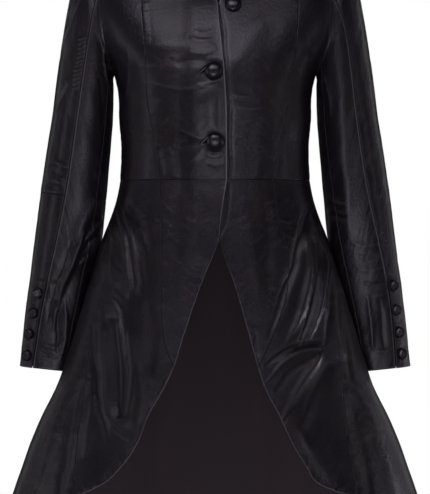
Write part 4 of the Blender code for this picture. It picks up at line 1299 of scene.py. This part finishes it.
# Sleeve seams get a painted shade line at the rim, and the outer one also a painted highlight line
SLEEVE_SEAM = SEAM._replace(radius=0.0020, depth=0.0013, dark=1.0)
SLEEVE_OUTER_SEAM = SLEEVE_SEAM._replace(worn=0.55)
SleeveSeam = namedtuple("SleeveSeam", "ring right left inner")
INNER_COLUMN = 3
SLEEVE_SEAMS = rows_of(
    SleeveSeam,
    (0.0, 4 / 18, 4 / 18, 7 / 18),
    (2.0, 0.236, 0.206, 0.390),
    (4.0, 0.222, 0.203, 0.385),
    (5.0, 0.218, 0.198, 0.372),
    (6.0, 0.197, 0.172, 0.355),
    (7.5, 0.178, 0.161, 0.346),
    (9.0, 0.170, 0.178, 0.345),
)
SLEEVE_RIGHT_FRONT_CREASES = rows_of(
    Crease,
    (-206, -280, -220, -232, -235, -188, 2.4, 1.89, 0.32),
    (-224, -151, -235, -125, -246, -103, 2.4, 1.68, 0.26),
    *row_of_puckers(
        12, (-206.872, -212.8, -200.792, -214.624, -192.888, -217.36), -1.2008, 6.84, 1.8, 1.26, 0.16
    ),
    (-177, -280, -171, -238, -165, -204, 2.1, 1.89, 0.4),
    (-165, -207, -169, -180, -163, -144, 2.3, 1.68, 0.24),
    (-159, -204, -160, -177, -154, -147, 4.0, -2.73),
    (-171, -197, -160, -186, -149, -189, 2.7, -1.26),
    (-172, -182, -162, -171, -151, -173, 2.7, 1.26),
    (-174, -166, -163, -154, -152, -156, 2.7, -1.26),
    (-169, -163, -160, -135, -155, -104, 3.3, 1.89),
    (-178, -156, -171, -122, -169, -81, 4.6, -1.68),
    (-259, -25, -242, -28, -224, -19, 3.0, 1.68),
    (-262, -11, -244, -13, -225, -4, 3.0, -1.68),
    (-263, 2, -245, 1, -227, 8, 3.0, 1.68),
    (-265, 14, -247, 13, -230, 19, 3.0, -1.26),
    (-181, 24, -206, 83, -235, 171, 10.6, 3.15),
    (-169, 55, -181, 74, -200, 93, 3.3, 3.78, 0.2),
    (-171, 66, -183, 86, -203, 106, 3.8, -4.62),
    (-168, 81, -184, 106, -209, 127, 4.6, 2.10),
    (-197, 74, -224, 139, -247, 232, 4.6, 3.15, 0.06),
    (-219, 86, -239, 151, -256, 217, 4.6, -1.68),
    (-190, 101, -193, 159, -207, 217, 6.1, -3.36),
    (-238, 177, -239, 220, -242, 262, 4.6, -2.52),
    (-227, 177, -227, 227, -236, 270, 4.6, 1.89),
    (-265, 249, -251, 253, -235, 252, 2.7, 1.05),
    (-268, 261, -251, 265, -231, 264, 2.7, -0.84),
)
SLEEVE_LEFT_FRONT_CREASES = rows_of(
    Crease,
    (187, -220, 193, -77, 205, 97, 10.6, 2.10),
    (206, 90, 226, 100, 252, 95, 4.0, 0.53),
    (215, 112, 229, 118, 249, 112, 4.0, -0.53),
    (212, 131, 232, 138, 258, 133, 4.0, 0.46),
    (223, 153, 237, 159, 255, 156, 4.0, -0.46),
    (221, 173, 238, 177, 261, 171, 4.0, 0.42),
    (232, 174, 238, 215, 241, 258, 4.6, 1.89),
    (250, 177, 255, 220, 258, 261, 4.6, -1.68),
    (167, 14, 180, 30, 199, 34, 3.3, 1.68),
    (167, 37, 183, 51, 203, 54, 3.6, -1.89),
    (156, -150, 162, -122, 164, -81, 3.0, -1.26),
    (162, -171, 171, -135, 174, -92, 3.6, 1.47),
    (243, 255, 256, 259, 270, 256, 2.7, 0.84),
)
SLEEVE_BACK_CREASES = rows_of(
    Crease,
    (-262, 20, -235, 34, -205, 26, 5.0, 1.6),
    (-264, 38, -236, 54, -204, 46, 5.0, -1.8),
    (-266, 58, -240, 74, -208, 68, 5.0, 1.5),
    (-268, 80, -244, 96, -212, 92, 5.0, -1.2),
    (-230, -150, -222, -80, -232, -10, 9.0, 1.2),
    (-268, 130, -258, 180, -262, 240, 7.0, 1.3),
    (-246, 140, -240, 190, -248, 250, 6.0, -1.1),
    (262, 16, 236, 30, 206, 22, 5.0, 1.5),
    (264, 36, 238, 52, 206, 44, 5.0, -1.7),
    (266, 58, 242, 72, 210, 66, 5.0, 1.4),
    (268, 82, 246, 98, 214, 94, 5.0, -1.1),
    (230, -156, 222, -84, 230, -14, 9.0, 1.2),
    (266, 126, 258, 176, 262, 236, 7.0, 1.2),
    (246, 136, 240, 186, 250, 246, 6.0, -1.1),
)
SLEEVE_FRONT_CREASES = {RIGHT: SLEEVE_RIGHT_FRONT_CREASES, LEFT: SLEEVE_LEFT_FRONT_CREASES}


def sleeve_surface(side):
    """One sleeve, by the share of the way round from its outer side forwards, and by the ring down it."""

    def surface(share, ring):
        share, ring = np.broadcast_arrays(np.asarray(share, float), np.asarray(ring, float))
        outwards = np.cos(2 * np.pi * share)
        forwards = np.sin(2 * np.pi * share)
        rings = [body_point(BODICE, side, *armhole(share))]
        for row in SLEEVE:
            power = row.squareness
            swell = (np.abs(outwards) ** power + np.abs(forwards) ** power) ** (-1 / power)
            reach = outwards * swell / 2
            x = (row.outer_x + row.inner_x) / 2 + reach * (row.outer_x - row.inner_x)
            z = (row.outer_z + row.inner_z) / 2 + reach * (row.outer_z - row.inner_z)
            rings.append(np.stack([side * x, row.middle_y - forwards * swell * row.half_depth, z], axis=-1))
        rings = np.array(rings).reshape(len(rings), -1, 3)
        slopes = np.gradient(rings, axis=0)
        at = ring.reshape(-1)
        low = np.clip(np.ceil(at).astype(int) - 1, 0, len(rings) - 2)
        each = np.arange(len(at))
        t = np.clip(at - low, 0, 1)[:, None]
        rise = t * t * (3 - 2 * t)
        points = rings[low, each] * (1 - rise) + rings[low + 1, each] * rise
        points += slopes[low, each] * t * (1 - t) ** 2 + slopes[low + 1, each] * t * t * (t - 1)
        return points.reshape(*share.shape, 3)

    return surface


for side in (RIGHT, LEFT):
    surface = sleeve_surface(side)
    table = np.array(SLEEVE_SEAMS)

    def outer_seam(ring):
        return smooth(ring, table[:, 0], table[:, SIDE_COLUMN[side]])

    def inner_seam(ring):
        return smooth(ring, table[:, 0], table[:, INNER_COLUMN])

    def seam_line(seam, top, bottom, whole_turn=0):
        def line(share):
            ring = top + (bottom - top) * np.asarray(share, float)
            return np.stack([seam(ring) + whole_turn, ring], axis=-1)

        return line

    whole = (0.0, float(len(SLEEVE)))
    spans = {"sleeve_front_" + SIDE_NAMES[side]: whole}
    if side == RIGHT:
        spans["sleeve_back_right_upper"] = (0.0, ELBOW_JOIN)
        spans["sleeve_back_right_lower"] = (ELBOW_JOIN, whole[1])
    else:
        spans["sleeve_back_left"] = whole
    for name, (top, bottom) in spans.items():
        if "front" in name:
            first, last = seam_line(outer_seam, top, bottom), seam_line(inner_seam, top, bottom)
        else:
            first, last = seam_line(inner_seam, top, bottom), seam_line(outer_seam, top, bottom, 1)
        rows = [SLEEVE_GATHERS] if name == "sleeve_back_right_upper" else []
        columns = [SLEEVE_BEHIND] if "back" in name else []
        share, ring = panel_grid(surface, *framed(first, last), SLEEVE_STEP, rows, columns)
        base = surface(share, ring)
        out = side * normals_of(surface, share, np.maximum(ring, ARMHOLE_CLEAR), SHARE_STEP, RING_STEP)
        relief, rub = crease_relief(base, out, SLEEVE_FRONT_CREASES[side], SLEEVE_BACK_CREASES)
        runs = edge_runs(base)
        vent = ease(ring, VENT_TOP, VENT_TOP + VENT_EASE)
        if "front" in name:
            relief = relief - VENT_SINK * vent * np.exp(-((runs["first"] / VENT_REACH) ** 2))
        else:
            relief = relief + VENT_RISE * vent * np.exp(-((runs["last"] / VENT_REACH) ** 2))
        foot = TURNED if bottom == whole[1] else SEAM
        first_seam = SLEEVE_OUTER_SEAM if "front" in name else SLEEVE_SEAM
        edges = {"first": first_seam, "last": SLEEVE_SEAM, "start": SEAM, "end": foot}
        cuff_row = [CUFF_ROW] if bottom == whole[1] else []
        sewn = sew_panel(name + "_skin", base, out, relief, rub, edges, LEATHER, stitch_rows=cuff_row)
        hang(sewn, name)

# Front buttons: domed shells covered in the coat's leather, drawn tight over the dome and gathered behind.
# The top one is undone and sits on the left front, and the other two hold the right front closed.
FRONT_BUTTON_WIDTH = 0.0254
BUTTON_STANDOFF = 0.0006
ButtonPoint = namedtuple("ButtonPoint", "radius height")
FRONT_BUTTON = rows_of(
    ButtonPoint,
    (0.00, -0.18),
    (0.28, -0.18),
    (0.34, -0.02),
    (0.70, 0.00),
    (0.88, 0.05),
    (0.97, 0.14),
    (1.00, 0.25),
    (0.96, 0.36),
    (0.84, 0.47),
    (0.64, 0.58),
    (0.38, 0.66),
    (0.00, 0.70),
)
FrontButton = namedtuple("FrontButton", "name side x z")
FRONT_BUTTONS = rows_of(
    FrontButton,
    ("front_button_top", LEFT, 0.027, -0.142),
    ("front_button_middle", RIGHT, -0.002, -0.243),
    ("front_button_low", RIGHT, 0.000, -0.3485),
)
BUTTON_SIDES = 56
BUTTON_RINGS = 34
FRONT_GATHERS = 0.00018
GATHERS_ROUND = 4.5
GATHERS_UP = 3
RIM_SPREAD = 0.02
COVERED = make_leather("button_leather", cells=760.0, low_gloss=0.26, high_gloss=0.34, bump=0.4, wax=0.60)


def add_button(name, outline, width, gathers, place, out):
    """A covered button, turned about its own axis, with small gathers at its rim, set on the cloth."""
    table = np.array(outline)
    run = run_along(table)
    at = np.linspace(0, run[-1], BUTTON_RINGS)
    radius = np.clip(smooth(at, run, table[:, 0]), 0, None)[1:-1, None] * width / 2
    height = smooth(at, run, table[:, 1])[1:-1, None] * width / 2
    angle = np.arange(BUTTON_SIDES) * 2 * np.pi / BUTTON_SIDES
    rim = np.exp(-(((radius / (width / 2)) - 1) ** 2) / RIM_SPREAD)
    radius = radius + gathers * rim * ripple(angle * GATHERS_ROUND, at[1:-1, None] * GATHERS_UP)
    rings = np.stack([radius * np.cos(angle), radius * np.sin(angle), height + 0 * radius], axis=-1)
    foot, crown = [[(0, 0, table[end, 1] * width / 2)] for end in (0, -1)]
    points = np.concatenate([foot, rings.reshape(-1, 3), crown])
    count = len(rings)
    faces = []
    for i in range(BUTTON_SIDES):
        j = (i + 1) % BUTTON_SIDES
        faces.append((0, 1 + j, 1 + i))
        for ring in range(count - 1):
            low = 1 + ring * BUTTON_SIDES
            high = low + BUTTON_SIDES
            faces.append((low + i, low + j, high + j, high + i))
        top = 1 + (count - 1) * BUTTON_SIDES
        faces.append((top + i, top + j, len(points) - 1))
    piece = add_piece(name, points, faces, COVERED)
    piece.data.transform(Vector(out).to_track_quat("Z", "Y").to_matrix().to_4x4())
    piece.data.transform(Matrix.Translation(Vector(place + out * BUTTON_STANDOFF)))
    return piece


for button in FRONT_BUTTONS:
    surface = bodice_surface(button.side)
    turn, z = turn_at(BODICE, [button.side * button.x], [button.z]), np.array([button.z])
    place, out = surface(turn, z)[0], button.side * normals_of(surface, turn, z)[0]
    piece = add_button(button.name + "_covered", FRONT_BUTTON, FRONT_BUTTON_WIDTH, FRONT_GATHERS, place, out)
    stand_for(piece, button.name)

# Cuff buttons: flat covered buttons with a raised rim, in a row beside each cuff vent.
# They are sewn to the back panel of the sleeve and are only for show.
CUFF_BUTTON_WIDTH = 0.0175
CUFF_BUTTON_LIFT = 0.6 * VENT_RISE
CUFF_GATHERS = 0.00008
CUFF_BUTTON = rows_of(
    ButtonPoint,
    (0.00, 0.00),
    (0.74, 0.00),
    (0.93, 0.08),
    (1.00, 0.22),
    (0.99, 0.38),
    (0.92, 0.50),
    (0.80, 0.54),
    (0.70, 0.50),
    (0.62, 0.43),
    (0.40, 0.41),
    (0.00, 0.42),
)
CuffButton = namedtuple("CuffButton", "right_ring right_share left_ring left_share")
CUFF_BUTTONS = rows_of(
    CuffButton,
    (7.24, 0.149, 7.06, 0.136),
    (7.76, 0.139, 7.68, 0.140),
    (8.26, 0.130, 8.22, 0.139),
    (8.74, 0.132, 8.70, 0.139),
)
for side in (RIGHT, LEFT):
    surface = sleeve_surface(side)
    for number, button in enumerate(CUFF_BUTTONS, 1):
        name = f"cuff_button_{SIDE_NAMES[side]}_{number}"
        ring = np.array([button.right_ring if side == RIGHT else button.left_ring])
        share = np.array([button.right_share if side == RIGHT else button.left_share])
        out = side * normals_of(surface, share, ring, SHARE_STEP, RING_STEP)[0]
        place = surface(share, ring)[0] + out * CUFF_BUTTON_LIFT
        piece = add_button(name + "_covered", CUFF_BUTTON, CUFF_BUTTON_WIDTH, CUFF_GATHERS, place, out)
        stand_for(piece, name)

# Studio: a plain pale floor below the coat, a dim pale room, and soft lights before, beside and behind it.
# The camera looks level at the coat from far off, and its frame runs from the chest to just above the hem.
FLOOR_Z = -1.42
FLOOR_REACH = 8.0
FLOOR_GREY = (0.80, 0.80, 0.80, 1.0)
FLOOR_GLOW = 0.45
WHITE = (1.0, 1.0, 1.0, 1.0)
pale = plain_finish(
    "pale_floor", Base_Color=FLOOR_GREY, Roughness=0.7, Emission_Color=WHITE, Emission_Strength=FLOOR_GLOW
)
corners = [(x * FLOOR_REACH, y * FLOOR_REACH, FLOOR_Z) for x, y in ((-1, -1), (1, -1), (1, 1), (-1, 1))]
floor = add_piece("studio_floor", corners, [(0, 1, 2, 3)], pale)
floor.visible_glossy = False

ROOM_TINT = (0.95, 0.95, 1.0, 1.0)
ROOM_LIGHT = 0.015
world = bpy.data.worlds.new("pale_room")
world.use_nodes = True
bpy.context.scene.world = world
room = world.node_tree
seen = add_node(room, "ShaderNodeBackground", Color=WHITE, Strength=1.0)
lit = add_node(room, "ShaderNodeBackground", Color=ROOM_TINT, Strength=ROOM_LIGHT)
ray = room.nodes.new("ShaderNodeLightPath")
both = room.nodes.new("ShaderNodeMixShader")
room.links.new(ray.outputs["Is Camera Ray"], both.inputs[0])
room.links.new(lit.outputs[0], both.inputs[1])
room.links.new(seen.outputs[0], both.inputs[2])
room.links.new(both.outputs[0], room.nodes["World Output"].inputs["Surface"])

Light = namedtuple("Light", "name place aim width height spread power")
LIGHTS = rows_of(
    Light,
    ("near_top", (-0.30, -1.20, 0.45), (-0.04, 0.0, -0.24), 0.75, 0.55, 60, 0.48),
    ("near_right", (0.45, -1.50, 0.60), (0.05, 0.0, -0.26), 0.8, 0.55, 60, 0.22),
    ("near_low", (0.00, -1.60, -1.00), (0.0, 0.0, -0.45), 0.6, 0.4, 180, 2.6),
    ("strip_left", (-0.75, -1.70, -0.75), (-0.15, 0.0, -0.50), 0.16, 0.9, 180, 0.7),
    ("strip_right", (0.75, -1.70, -0.75), (0.15, 0.0, -0.50), 0.16, 0.9, 180, 0.5),
    ("far_left", (-2.20, -1.00, -0.60), (0.0, 0.0, -0.60), 0.4, 1.2, 180, 2.6),
    ("far_right", (2.20, -1.00, -0.60), (0.0, 0.0, -0.60), 0.4, 1.2, 180, 1.2),
    ("skirt_left", (-1.60, 0.25, -0.95), (-0.28, 0.0, -0.87), 0.3, 0.4, 40, 0.06),
    ("skirt_right", (1.60, 0.25, -0.95), (0.28, 0.0, -0.87), 0.3, 0.4, 40, 0.25),
    ("edge_left", (-2.20, 0.35, 0.10), (0.0, 0.0, -0.40), 0.3, 1.2, 180, 0.8),
    ("edge_right", (2.20, 0.35, 0.10), (0.0, 0.0, -0.40), 0.3, 1.2, 180, 0.6),
    ("quarter_left", (-2.00, 1.60, -0.20), (-0.15, 0.0, -0.45), 0.6, 1.2, 180, 1.2),
    ("quarter_right", (2.00, 1.60, -0.20), (0.15, 0.0, -0.45), 0.6, 1.2, 180, 1.8),
    ("behind", (0.00, 2.60, 0.80), (0.0, 0.0, -0.50), 2.0, 1.4, 180, 30.0),
)
for light in LIGHTS:
    lamp = bpy.data.lights.new(light.name, "AREA")
    lamp.shape = "RECTANGLE"
    lamp.size = light.width
    lamp.size_y = light.height
    lamp.spread = np.radians(light.spread)
    lamp.energy = light.power
    stand = bpy.data.objects.new(light.name, lamp)
    stand.location = light.place
    stand.rotation_euler = (Vector(light.aim) - Vector(light.place)).to_track_quat("-Z", "Y").to_euler()
    stand.visible_camera = False
    bpy.context.scene.collection.objects.link(stand)

PHOTO_ROWS = 494
METRES_A_PIXEL = 0.00152
FRAME_HEIGHT = PHOTO_ROWS * METRES_A_PIXEL
SENSOR = 36.0
camera_data = bpy.data.cameras.new("camera")
camera_data.sensor_width = SENSOR
camera_data.lens = SENSOR * VIEW_DISTANCE / FRAME_HEIGHT
camera = bpy.data.objects.new("camera", camera_data)
camera.location = (0.0, -VIEW_DISTANCE, VIEW_Z)
camera.rotation_euler = Vector((0.0, 1.0, 0.0)).to_track_quat("-Z", "Y").to_euler()
bpy.context.scene.collection.objects.link(camera)
bpy.context.scene.camera = camera
bpy.context.scene.view_settings.view_transform = "Standard"
